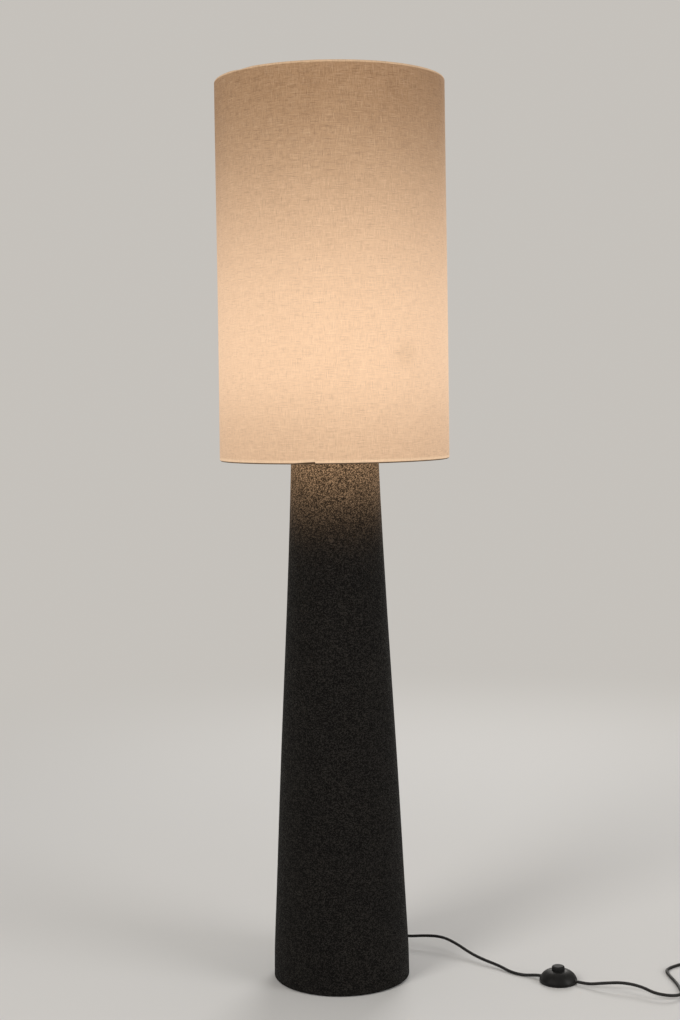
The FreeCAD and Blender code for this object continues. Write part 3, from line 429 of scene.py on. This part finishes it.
# Bulb: clear blown glass with four coated light sticks on a glass stem, in a bright metal screw cap.
# It is lit, a warm white.
glass_tint = (0.98, 0.96, 0.92, 1)
glass, tree, shader = new_material("clear_glass", Base_Color=glass_tint, Transmission_Weight=1.0, IOR=1.45)
feed(tree, shader, {
    "Roughness": use_group(tree, mottle, Place=object_place(tree), Size=0.03, Low=0.01, High=0.05)["Value"],
})
dress(glass, "bulb_glass", "bulb_stem")

lit_stick = (1.0, 0.62, 0.26, 1)
lit_core = (1.0, 0.80, 0.50, 1)
filament, tree, shader = new_material("lit_filament", Roughness=0.5, Emission_Strength=9.0)
glow = mix_colour(tree, noise(tree, object_place(tree), 700.0, detail=1.0), lit_stick, lit_core)
feed(tree, shader, {"Base Color": glow, "Emission Color": glow})
dress(filament, "bulb_filaments")

cap_bright = (0.74, 0.74, 0.72, 1)
cap_dull = (0.55, 0.54, 0.51, 1)
nickel_plated_cap = patchy_finish(
    "nickel_plated_cap", cap_bright, cap_dull,
    patch_size=0.005, patch_share=1.0, smooth=0.15, rough=0.35,
    Metallic=1.0,
)
dress(nickel_plated_cap, "bulb_cap")

vitrite = (0.012, 0.012, 0.018, 1)
vitrite_pale = (0.03, 0.03, 0.04, 1)
glazed_insulator = patchy_finish(
    "glazed_insulator", vitrite, vitrite_pale,
    patch_size=0.003, patch_share=1.0, smooth=0.12, rough=0.25,
    Coat_Weight=0.5,
)
dress(glazed_insulator, "bulb_insulator")


# Shade frame: a steel washer with three welded spokes that bend down to the lower ring, and a loose upper
# ring. All of it is wire, dipped in satin white enamel.
enamel = (0.76, 0.74, 0.69, 1)
enamel_warm = (0.62, 0.57, 0.48, 1)
white_enamel = patchy_finish(
    "white_enamel", enamel, enamel_warm,
    patch_size=0.02, patch_share=0.8, smooth=0.3, rough=0.45,
    grain=(500.0, 1.0, 0.0001),
)
dress(white_enamel, "shade_carrier", "shade_top_ring")


# Shade lining: a stiff, translucent plastic sheet rolled to a drum, with the linen bonded to its outside.
# The bulb stands low in the drum, so the glow is strongest in its lower half and dies away towards the top.
shade_low = 0.868
shade_high = 1.5
shade_radius = 0.1922
glow_height = 1.04
glow_reach = 0.01

# Lamp glow: painted light, a share for an emission colour that stands in for the bulb's light through the
# drum, strongest low and fading towards the top
lamp_glow, given, made = new_group(
    "lamp_glow", inputs={"Place": (0, 0, 0), "Top": 0.1, "Foot": 0.6}, outputs={"Glow": 0.0})
height = add(lamp_glow, "ShaderNodeSeparateXYZ", {0: given["Place"]}).outputs["Z"]
above = ramp(lamp_glow, height, 1.0, given["Top"], glow_height + glow_reach, shade_high)
below = ramp(lamp_glow, height, given["Foot"], 1.0, shade_low, glow_height - glow_reach)
feed(lamp_glow, made, {"Glow": math_node(lamp_glow, "MULTIPLY", above, below)})

lining_pale = (0.80, 0.74, 0.64, 1)
lining_warm = (0.70, 0.60, 0.46, 1)
lining_dark = (0.02, 0.014, 0.008, 1)
lining_lit = (1.0, 0.72, 0.44, 1)
lining, tree, shader = new_material("drum_lining", Emission_Strength=0.5)
place = object_place(tree)
tone = use_group(tree, mottle, Place=place, Size=0.12, Low=0.0, High=0.6)["Value"]
lit = use_group(tree, lamp_glow, Place=place, Top=0.12, Foot=0.85)["Glow"]
feed(tree, shader, {
    "Base Color": mix_colour(tree, tone, lining_pale, lining_warm),
    "Roughness": ramp(tree, tone, 0.4, 0.55),
    "Emission Color": mix_colour(tree, lit, lining_dark, lining_lit),
})
dress(lining, "shade_liner")


# Shade cloth: slubby unbleached linen stretched on the lining and rolled round both wire rings.
# Its ends lap in one upright seam a little left of the front, where the hem shows a small step.
cloth_thickness = 0.0007
cloth_sides = 384
wall_rows = 28
slow_slack = 0.00022
quick_slack = 0.00016
wire_radius = 0.0018
roll_radius = 0.0034
roll_steps = 8
roll_lap = 0.006
wire_circle = shade_radius - roll_radius
low_centre = shade_low + roll_radius
high_centre = shade_high - roll_radius
seam_angle = math.radians(-99)
seam_width = 0.014
seam_rise = 0.0007
seam_ease = 0.0008
leg_angles = [math.radians(angle) for angle in (90, 210, 330)]
leg_clear = 0.0035
lap_zone = 0.02
hem_zone = 0.012
hem_lift = 0.0019
hem_lift_reach = 0.042
kink_angle = math.radians(-138)
kink_width = math.radians(9)
kink_depth = 0.0014


def turn_from(angle, start):
    """The turn from the start to the angle, between half a turn back and half a turn on."""
    return (angle - start + math.pi) % math.tau - math.pi


def from_seam(angle):
    """Distance along the cloth from the seam, in metres, positive to the right."""
    return turn_from(angle, seam_angle) * shade_radius


def step(value, low, high):
    """0 below the low value, 1 above the high one, and eased between them."""
    share = min(1, max(0, (value - low) / (high - low)))
    return share * share * (3 - 2 * share)


def cloth_spread(angle, height):
    """Slack and tension of the bonded cloth, and the extra thickness of the lap at the seam."""
    slack = slow_slack * math.sin(3 * angle + 7 * height)
    slack += quick_slack * math.sin(7 * angle - 11 * height + 1)
    across = from_seam(angle)
    lap_start = step(across, -seam_ease, seam_ease)
    lap_end = step(across, seam_width, seam_width + 5 * seam_ease)
    return slack + seam_rise * lap_start * (1 - lap_end)


def roll_outline(centre, way):
    """Points from the wall's outside round one ring to the end of the lap, and back on the cloth's inside."""
    outer = []
    inner = []
    for count in range(roll_steps + 1):
        angle = math.pi * count / roll_steps
        for face, reach in ((outer, roll_radius), (inner, roll_radius - cloth_thickness)):
            face.append((wire_circle + reach * math.cos(angle), centre + way * reach * math.sin(angle)))
    lap_end = centre - way * roll_lap
    outer.append((wire_circle - roll_radius, lap_end))
    inner.append((wire_circle - roll_radius + cloth_thickness, lap_end))
    return outer + inner[::-1]


wall_height = high_centre - low_centre
wall_heights = [low_centre + wall_height * row / wall_rows for row in range(1, wall_rows)]
wall_inside = [(shade_radius - cloth_thickness, height) for height in wall_heights]
wall_outside = [(shade_radius, height) for height in wall_heights]
cloth_outline = roll_outline(low_centre, -1) + wall_inside
cloth_outline += roll_outline(high_centre, 1)[::-1] + wall_outside[::-1]
cloth = spin_mesh("shade_cloth", cloth_outline, cloth_sides, cloth_spread)
for point in cloth.data.vertices:
    place = point.co
    angle = math.atan2(place.y, place.x)
    radius = math.hypot(place.x, place.y)
    across = from_seam(angle)
    # The lap is cut back where a leg of the frame meets the lower ring
    if radius < wire_circle and low_centre < place.z < shade_low + lap_zone:
        for leg in leg_angles:
            if 2 * radius * abs(math.sin((angle - leg) / 2)) < leg_clear:
                place.z = low_centre
    # Left of the seam the under layer is drawn up a little, which shows as a notch at the foot
    if place.z < shade_low + hem_zone and across < 0 and radius > wire_circle + roll_radius / 2:
        place.z += hem_lift * step(across, -hem_lift_reach, 0)
    # The upper ring has had a small knock
    if place.z > shade_high - hem_zone:
        place.z -= kink_depth * (1 - step(abs(turn_from(angle, kink_angle)), 0, kink_width))
shell = bmesh.new()
shell.from_mesh(cloth.data)
bmesh.ops.recalc_face_normals(shell, faces=shell.faces)
shell.to_mesh(cloth.data)
shell.free()

# Round cloth: a place on the drum as a place on the flat cloth, across from the side opposite the seam and up
round_cloth, given, made = new_group(
    "round_cloth",
    inputs={"Place": (0, 0, 0), "Radius": shade_radius, "Turn": 0.0},
    outputs={"Across": 0.0, "Flat": (0, 0, 0), "From axis": 0.0},
)
turned_place = add(round_cloth, "ShaderNodeVectorRotate", {"Vector": given["Place"], "Angle": given["Turn"]},
                   rotation_type="Z_AXIS").outputs[0]
parts = add(round_cloth, "ShaderNodeSeparateXYZ", {0: turned_place}).outputs
turn = math_node(round_cloth, "ARCTAN2", parts["Y"], parts["X"])
across = math_node(round_cloth, "MULTIPLY", turn, given["Radius"])
level_place = add(round_cloth, "ShaderNodeCombineXYZ", {"X": parts["X"], "Y": parts["Y"]}).outputs[0]
from_axis = vector_node(round_cloth, "LENGTH", level_place)["Value"]
# Round the rolled edges the upright threads go on inwards, so that the pattern isn't drawn out there
inwards = math_node(round_cloth, "SUBTRACT", given["Radius"], from_axis)
up = math_node(round_cloth, "ADD", parts["Z"], inwards)
flat = add(round_cloth, "ShaderNodeCombineXYZ", {"X": across, "Y": up}).outputs[0]
feed(round_cloth, made, {"Across": across, "Flat": flat, "From axis": from_axis})

# Slubs: thick places in a thread, drawn out along it; a higher threshold leaves fewer of them
slub_ease = 0.16
slubs, given, made = new_group(
    "slubs", inputs={"Flat": (0, 0, 0), "Per metre": (30, 900, 1), "Threshold": 0.6}, outputs={"Mask": 0.0})
drawn = vector_node(slubs, "MULTIPLY", given["Flat"], given["Per metre"])["Vector"]
lumps = noise(slubs, drawn, 1.0, detail=2.0, roughness=0.6)
top = math_node(slubs, "ADD", given["Threshold"], slub_ease)
feed(slubs, made, {"Mask": ramp(slubs, lumps, 0.0, 1.0, given["Threshold"], top)})


def slub_mask(tree, flat, across, up, threshold):
    """Where the linen has slubs of one kind; across and up are how many would fit in a metre."""
    return use_group(tree, slubs, Flat=flat, Per_metre=(across, up, 1.0), Threshold=threshold)["Mask"]


# Plain weave: crossing threads, over and under in turn
weave, given, made = new_group(
    "plain_weave", inputs={"Flat": (0, 0, 0), "Thread": 0.0009}, outputs={"Height": 0.0})
parts = add(weave, "ShaderNodeSeparateXYZ", {0: given["Flat"]}).outputs
turns = math_node(weave, "DIVIDE", math.pi, given["Thread"])
warp = math_node(weave, "SINE", math_node(weave, "MULTIPLY", parts["X"], turns))
weft = math_node(weave, "SINE", math_node(weave, "MULTIPLY", parts["Y"], turns))
crossed = math_node(weave, "MULTIPLY", warp, weft)
feed(weave, made, {"Height": math_node(weave, "MULTIPLY_ADD", crossed, 0.5, 0.5)})

# Hem: near either wire a painted line of light shows where light finds its way past the lining's edge, and
# the turned edge is painted dark as shade, in its colour and its glow
hem_light, given, made = new_group(
    "hem_light", inputs={"Height": 0.0, "Edge": 0.0, "Width": 0.003}, outputs={"Line": 0.0, "Turned": 0.0})
apart = math_node(hem_light, "ABSOLUTE", math_node(hem_light, "SUBTRACT", given["Height"], given["Edge"]))
widths = math_node(hem_light, "DIVIDE", apart, given["Width"])
feed(hem_light, made, {
    "Line": ramp(hem_light, widths, 1.0, 0.0, from_low=1.0, from_high=1.5),
    "Turned": ramp(hem_light, widths, 1.0, 0.0, from_low=0.28, from_high=0.52),
})

thread_width = 0.0009
linen_base = (0.370, 0.236, 0.132, 1)
linen_pale = (0.416, 0.272, 0.158, 1)
linen_slub = (0.19, 0.115, 0.062, 1)
linen_thread = (0.53, 0.37, 0.235, 1)
linen_turned_shade = (0.10, 0.060, 0.030, 1)
linen_dim = (0.035, 0.010, 0.004, 1)
linen_lit = (0.62, 0.432, 0.298, 1)
linen_edge_lit = (0.64, 0.480, 0.330, 1)
slub_darkens = 0.62
thick_darkens = 0.16
thread_darkens = 0.08
pale_lightens = 0.6
edge_lightens = 0.44
dark_veils = 0.10
linen, tree, shader = new_material("lit_linen", Roughness=0.9, Specular_IOR_Level=0.2, Sheen_Weight=0.05,
                                   Sheen_Roughness=0.5, Emission_Strength=1.0)
place = object_place(tree)
spread = use_group(tree, round_cloth, Place=place, Turn=math.pi - seam_angle)
flat = spread["Flat"]
threads = use_group(tree, weave, Flat=flat, Thread=thread_width)["Height"]
upright = slub_mask(tree, flat, across=1150.0, up=55.0, threshold=0.55)
level = slub_mask(tree, flat, across=46.0, up=1050.0, threshold=0.54)
thick_upright = slub_mask(tree, flat, across=760.0, up=85.0, threshold=0.44)
thick_level = slub_mask(tree, flat, across=75.0, up=700.0, threshold=0.44)
pale_upright = slub_mask(tree, flat, across=980.0, up=50.0, threshold=0.54)
pale_level = slub_mask(tree, flat, across=46.0, up=900.0, threshold=0.54)

# What darkens the linen: its slubs, its thicker threads and the weave itself
slub = math_node(tree, "MAXIMUM", upright, level)
slub_share = math_node(tree, "MULTIPLY", slub, slub_darkens)
thick = math_node(tree, "ADD", thick_upright, thick_level)
thick_share = math_node(tree, "MULTIPLY", thick, thick_darkens)
thread_share = math_node(tree, "MULTIPLY", threads, thread_darkens)
dark_share = math_node(tree, "ADD", math_node(tree, "ADD", slub_share, thick_share), thread_share)
pale = math_node(tree, "MAXIMUM", pale_upright, pale_level)
pale_share = math_node(tree, "MULTIPLY", pale, pale_lightens)

# The hems follow the cloth's edges, and the foot's edge rises to the seam
height = add(tree, "ShaderNodeSeparateXYZ", {0: place}).outputs["Z"]
half_round = math.pi * shade_radius
rise = ramp(tree, spread["Across"], 0.0, hem_lift, half_round - hem_lift_reach, half_round)
foot_edge = math_node(tree, "ADD", rise, shade_low)
foot_hem = use_group(tree, hem_light, Height=height, Edge=foot_edge, Width=0.0050)
head_hem = use_group(tree, hem_light, Height=height, Edge=shade_high, Width=0.0030)
outer_half = ramp(tree, spread["From axis"], 0.0, 1.0, wire_circle - wire_radius, wire_circle + wire_radius)
# Painted shade on the outer half of the turned foot edge
turned_edge_shade = math_node(tree, "MULTIPLY", foot_hem["Turned"], outer_half)
edge_line = math_node(tree, "MAXIMUM", foot_hem["Line"], head_hem["Line"])
edge_share = math_node(tree, "MULTIPLY", edge_line, edge_lightens)

# A faint round spot where the cloth's glow is dimmed, a little to the right of the front
dim_spot_angle = math.radians(-53)
dim_spot_height = 1.04
dim_spot_core = 0.004
dim_spot_radius = 0.034
dim_spot_veils = 0.13
dim_spot_place = (shade_radius * math.cos(dim_spot_angle), shade_radius * math.sin(dim_spot_angle), dim_spot_height)
from_dim_spot = vector_node(tree, "DISTANCE", place, dim_spot_place)["Value"]
dim_spot = ramp(tree, from_dim_spot, dim_spot_veils, 0.0, from_low=dim_spot_core, from_high=dim_spot_radius)

tone = use_group(tree, mottle, Place=place, Size=0.05, Low=0.25, High=0.75)["Value"]
colour = mix_colour(tree, tone, linen_base, linen_pale)
colour = mix_colour(tree, dark_share, colour, linen_slub)
colour = mix_colour(tree, pale_share, colour, linen_thread)
lit = use_group(tree, lamp_glow, Place=place, Top=0.0, Foot=0.65)["Glow"]
glow = mix_colour(tree, lit, linen_dim, linen_lit)
glow = mix_colour(tree, edge_share, glow, linen_edge_lit)
veil = math_node(tree, "MULTIPLY_ADD", dark_share, dark_veils, dim_spot)
veil = math_node(tree, "MAXIMUM", veil, turned_edge_shade)
feed(tree, shader, {
    "Base Color": mix_colour(tree, turned_edge_shade, colour, linen_turned_shade),
    "Emission Color": mix_colour(tree, veil, glow, unlit),
    "Normal": bump(tree, math_node(tree, "ADD", threads, slub), 0.00022),
})
cloth.data.materials.append(linen)
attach(cloth, "lamp")
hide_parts("shade_fabric")


# Cord: round, two cores in a matt black jacket. It comes out of the gland at the column's back, bends round
# to the right, dips to the floor and runs to the foot switch. Inside, it turns up the rod's bore.
cord_diameter = 0.005
jacket_black = (0.006, 0.006, 0.006, 1)
jacket_dust = (0.016, 0.015, 0.014, 1)
jacket = patchy_finish(
    "matt_cord_jacket", jacket_black, jacket_dust,
    patch_size=0.012, patch_share=0.6, smooth=0.5, rough=0.72,
    grain=(1500.0, 2.0, 0.00006), Specular_IOR_Level=0.25,
)


def round_tube(name, points, radius, round_steps, path_steps):
    """A round tube on one smooth spline that has the points as its control points."""
    data = bpy.data.curves.new(name, "CURVE")
    data.dimensions = "3D"
    data.bevel_depth = radius
    data.bevel_resolution = round_steps
    data.use_fill_caps = True
    spline = data.splines.new("NURBS")
    spline.points.add(len(points) - 1)
    for point, place in zip(spline.points, points):
        point.co = (*place, 1)
    spline.order_u = 3
    spline.use_endpoint_u = True
    spline.resolution_u = path_steps
    tube = bpy.data.objects.new(name, data)
    bpy.context.scene.collection.objects.link(tube)
    return tube


def cord_curve(name, points):
    """A length of the lamp's cord along its route."""
    curve = round_tube(name, points, cord_diameter / 2, round_steps=6, path_steps=8)
    curve.data.materials.append(jacket)
    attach(curve, "lamp")
    return curve


inner_lead = cord_curve("inner_lead", [(0, 0.1366, 0.02), (0, 0.02, 0.02), (0, 0, 0.04), (0, 0, 0.927)])
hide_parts("inner_cord")

base_to_switch = [
    (0.0000, 0.1366, 0.0200),
    (0.0000, 0.1550, 0.0200),
    (0.0095, 0.1710, 0.0195),
    (0.0255, 0.1800, 0.0190),
    (0.0450, 0.1790, 0.0185),
    (0.0800, 0.1610, 0.0175),
    (0.1120, 0.1360, 0.0170),
    (0.1510, 0.1280, 0.0210),
    (0.1780, 0.1140, 0.0225),
    (0.2010, 0.0880, 0.0180),
    (0.2200, 0.0660, 0.0105),
    (0.2400, 0.0380, 0.0080),
    (0.2660, 0.0140, 0.0050),
    (0.2840, -0.0130, 0.0025),
    (0.3020, -0.0270, 0.0025),
    (0.3150, -0.0310, 0.0035),
    (0.3274, -0.0373, 0.0055),
    (0.3411, -0.0452, 0.0055),
]
lead_to_switch = cord_curve("lead_to_switch", base_to_switch)
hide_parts("cord_base_to_switch")


# Gland: a soft black bush in the column's wall, held by a black nut inside the wall.
# Its tapered sleeve keeps the cord from a sharp bend. The switch's anti-slip sole is of the same rubber.
rubber_black = (0.008, 0.008, 0.008, 1)
rubber_bloom = (0.020, 0.019, 0.018, 1)
soft_black_rubber = patchy_finish(
    "soft_black_rubber", rubber_black, rubber_bloom,
    patch_size=0.007, patch_share=0.6, smooth=0.55, rough=0.8,
    grain=(1300.0, 2.0, 0.00008), Specular_IOR_Level=0.25,
)
dress(soft_black_rubber, "cord_gland", "switch_pad")


# Foot switch: a domed case and a base of satin black plastic, joined by two screws from below.
# The round button stands proud of the dome on a spring, over a ratchet wheel and brass contacts.
switch_case_plastic = black_plastic(
    "switch_case_plastic", grain_size=0.0007, grain_depth=0.00006, smooth=0.40, rough=0.56,
)
dress(switch_case_plastic, "switch_cover", "switch_base", "switch_clamps")
switch_button_plastic = black_plastic(
    "switch_button_plastic", grain_size=0.0005, grain_depth=0.00004, smooth=0.46, rough=0.60,
)
dress(switch_button_plastic, "switch_button")

wheel_white = (0.74, 0.72, 0.66, 1)
wheel_warm = (0.62, 0.58, 0.50, 1)
wheel_plastic = patchy_finish(
    "wheel_plastic", wheel_white, wheel_warm,
    patch_size=0.004, patch_share=0.6, smooth=0.3, rough=0.45,
    Coat_Weight=0.2,
)
dress(wheel_plastic, "switch_rotor")


# Switch spring: an open coil of plated steel wire round the wheel's post, under the button's ceiling.
# It is a piece of its own here because it shortens as the button goes down.
spring_wire_radius = 0.00045
spring_turns = 5
points_per_spring_turn = 16
spring_low, spring_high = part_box("switch_spring")
spring_middle = (spring_low + spring_high) / 2
spring_height = spring_high.z - spring_low.z
spring_line_radius = (spring_high.x - spring_low.x) / 2 - spring_wire_radius
# The spline runs inside its control points, so they stand out a little further than the wire
spring_reach = spring_line_radius / math.cos(math.pi / points_per_spring_turn)
spring_steps = spring_turns * points_per_spring_turn
spring_route = []
for count in range(spring_steps + 1):
    angle = math.tau * count / points_per_spring_turn
    risen = (spring_height - 2 * spring_wire_radius) * count / spring_steps
    spring_route.append((
        spring_middle.x + spring_reach * math.cos(angle),
        spring_middle.y + spring_reach * math.sin(angle),
        spring_low.z + spring_wire_radius + risen,
    ))
line = round_tube("spring_line", spring_route, spring_wire_radius, round_steps=3, path_steps=3)
bpy.context.view_layer.update()
spring_mesh = bpy.data.meshes.new_from_object(line.evaluated_get(bpy.context.evaluated_depsgraph_get()))
bpy.data.objects.remove(line)
spring = bpy.data.objects.new("button_spring", spring_mesh)
bpy.context.scene.collection.objects.link(spring)
spring_mesh.materials.clear()
spring_mesh.materials.append(plated)
spring_mesh.shade_smooth()
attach(spring, "lamp")
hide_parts("switch_spring")
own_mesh(spring)


# Cord beyond the switch: it arches over the floor, turns back on itself at the right, and what the picture
# doesn't show is wound up as for storage, in on the floor and out again on top.
switch_to_coil = [
    (0.3749, -0.0648, 0.0055),
    (0.3886, -0.0727, 0.0055),
    (0.4040, -0.0850, 0.0060),
    (0.4280, -0.0980, 0.0120),
    (0.4560, -0.1060, 0.0155),
    (0.4820, -0.1210, 0.0145),
    (0.5000, -0.1430, 0.0110),
    (0.5190, -0.1495, 0.0090),
    (0.5365, -0.1442, 0.0065),
    (0.5475, -0.1295, 0.0040),
    (0.5500, -0.1060, 0.0025),
    (0.5495, -0.0760, 0.0025),
    (0.5450, -0.0420, 0.0025),
    (0.5430, -0.0170, 0.0025),
    (0.5540, -0.0010, 0.0025),
    (0.5760, 0.0150, 0.0025),
    (0.6000, 0.0280, 0.0025),
    (0.6250, 0.0320, 0.0025),
    (0.6520, 0.0320, 0.0025),
]
coil_to_plug = [
    (0.6600, 0.0320, 0.0082),
    (0.6720, 0.0320, 0.0080),
    (0.6850, 0.0320, 0.0069),
    (0.6900, 0.0320, 0.00685),
]
coil_centre = Vector((0.660, 0.0715, 0.0025))
coil_outer = 0.0395
coil_pitch = 0.0057
coil_turns_in = 3.5
points_per_turn = 16
coil_half_way = round(points_per_turn * coil_turns_in)
climb_reach = 4


def coil_point(count):
    """A point of the coil: in on the floor, up one layer at the innermost turn, and out on top."""
    inward = min(count, 2 * coil_half_way - count)
    radius = (coil_outer - coil_pitch * inward / points_per_turn) / math.cos(math.pi / points_per_turn)
    angle = math.tau * count / points_per_turn - math.pi / 2
    climb = coil_pitch * step(count, coil_half_way - climb_reach, coil_half_way + climb_reach)
    return coil_centre + Vector((radius * math.cos(angle), radius * math.sin(angle), climb))


coil = [coil_point(count) for count in range(1, 2 * coil_half_way)]
lead_to_plug = cord_curve("lead_to_plug", switch_to_coil + coil + coil_to_plug)
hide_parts("cord_switch_to_coil", "cord_coil")


# Plug: a flat two-pin plug moulded on the cord, with a ribbed neck that bends with it.
# Its brass pins wear black sleeves for half their length.
plug_plastic = black_plastic(
    "plug_plastic", grain_size=0.0006, grain_depth=0.00006, smooth=0.34, rough=0.5,
)
dress(plug_plastic, "plug_body", "plug_face", "plug_sleeves")


# Studio: a plain pale floor that runs out of sight, soft lamps and a pale surround.
# The camera stands where the photographer stood, a little below the shade, tilted by about one degree.
floor_pale = (0.68, 0.685, 0.69, 1)
floor_worn = (0.65, 0.655, 0.66, 1)
floor_radius = 60
surround = (0.56, 0.535, 0.50, 1)
surround_light = 0.55
disc = bmesh.new()
bmesh.ops.create_circle(disc, cap_ends=True, segments=96, radius=floor_radius)
floor_mesh = bpy.data.meshes.new("studio_floor")
disc.to_mesh(floor_mesh)
disc.free()
floor = bpy.data.objects.new("studio_floor", floor_mesh)
bpy.context.scene.collection.objects.link(floor)
paint, tree, shader = new_material("pale_floor", Roughness=0.75, Specular_IOR_Level=0.0,
                                   Emission_Strength=1.0)
place = object_place(tree)
tone = use_group(tree, mottle, Place=place, Size=0.8, Low=0.0, High=0.12)["Value"]
near_floor = mix_colour(tree, tone, floor_pale, floor_worn)
# Away from the lamp the floor turns into the surround
far = ramp(tree, vector_node(tree, "LENGTH", place)["Value"], 0.0, 1.0, from_low=0.9, from_high=3.2)
feed(tree, shader, {
    "Base Color": mix_colour(tree, far, near_floor, unlit),
    "Emission Color": mix_colour(tree, far, unlit, surround),
})
floor_mesh.materials.append(paint)

# The surround is seen at full strength and lights the lamp at a lower one
world = bpy.data.worlds.new("studio")
bpy.context.scene.world = world
world.use_nodes = True
tree = world.node_tree
paths = add(tree, "ShaderNodeLightPath").outputs
seen = math_node(tree, "MAXIMUM", paths["Is Camera Ray"], paths["Is Glossy Ray"])
seen = math_node(tree, "MAXIMUM", seen, paths["Is Transmission Ray"])
strength = ramp(tree, seen, surround_light, 1.0)
feed(tree, tree.nodes["Background"].inputs, {"Color": surround, "Strength": strength})


def soft_lamp(name, place, aim, size, power, colour):
    """A round lamp of so many metres across and so many watts, turned towards its aim."""
    data = bpy.data.lights.new(name, "AREA")
    data.shape = "DISK"
    data.size = size
    data.energy = power
    data.color = colour
    lamp = bpy.data.objects.new(name, data)
    lamp.location = place
    lamp.rotation_euler = (Vector(aim) - Vector(place)).to_track_quat("-Z", "Y").to_euler()
    bpy.context.scene.collection.objects.link(lamp)


soft_lamp("key_lamp", (-2.4, -3.0, 2.6), aim=(0, 0, 0.7), size=1.8, power=88, colour=(1.0, 0.96, 0.90))
soft_lamp("fill_lamp", (3.0, -2.0, 1.6), aim=(0, 0, 0.6), size=2.2, power=56, colour=(1.0, 0.97, 0.94))
soft_lamp("back_lamp", (0.8, 3.4, 2.4), aim=(0, 0, 0.8), size=2.0, power=70, colour=(1.0, 0.97, 0.93))

photo_long_side = 1020
focal_pixels = 1682.0
shift_pixels = 86.64
sensor = 36.0
camera_place = (0.0096, -2.82175, 0.97957)
camera_tilt = 0.0181
camera_roll = 0.01415
camera_data = bpy.data.cameras.new("camera")
camera_data.sensor_width = sensor
camera_data.sensor_fit = "AUTO"
camera_data.lens = sensor * focal_pixels / photo_long_side
camera_data.shift_y = -shift_pixels / photo_long_side
camera = bpy.data.objects.new("camera", camera_data)
bpy.context.scene.collection.objects.link(camera)
camera.location = camera_place
camera.rotation_mode = "XYZ"
look = Vector((0, math.cos(camera_tilt), -math.sin(camera_tilt)))
level_camera = look.to_track_quat("-Z", "Y").to_matrix().to_4x4()
camera.rotation_euler = (level_camera @ Matrix.Rotation(-camera_roll, 4, "Z")).to_euler()
bpy.context.scene.camera = camera
bpy.context.scene.view_settings.view_transform = "Standard"
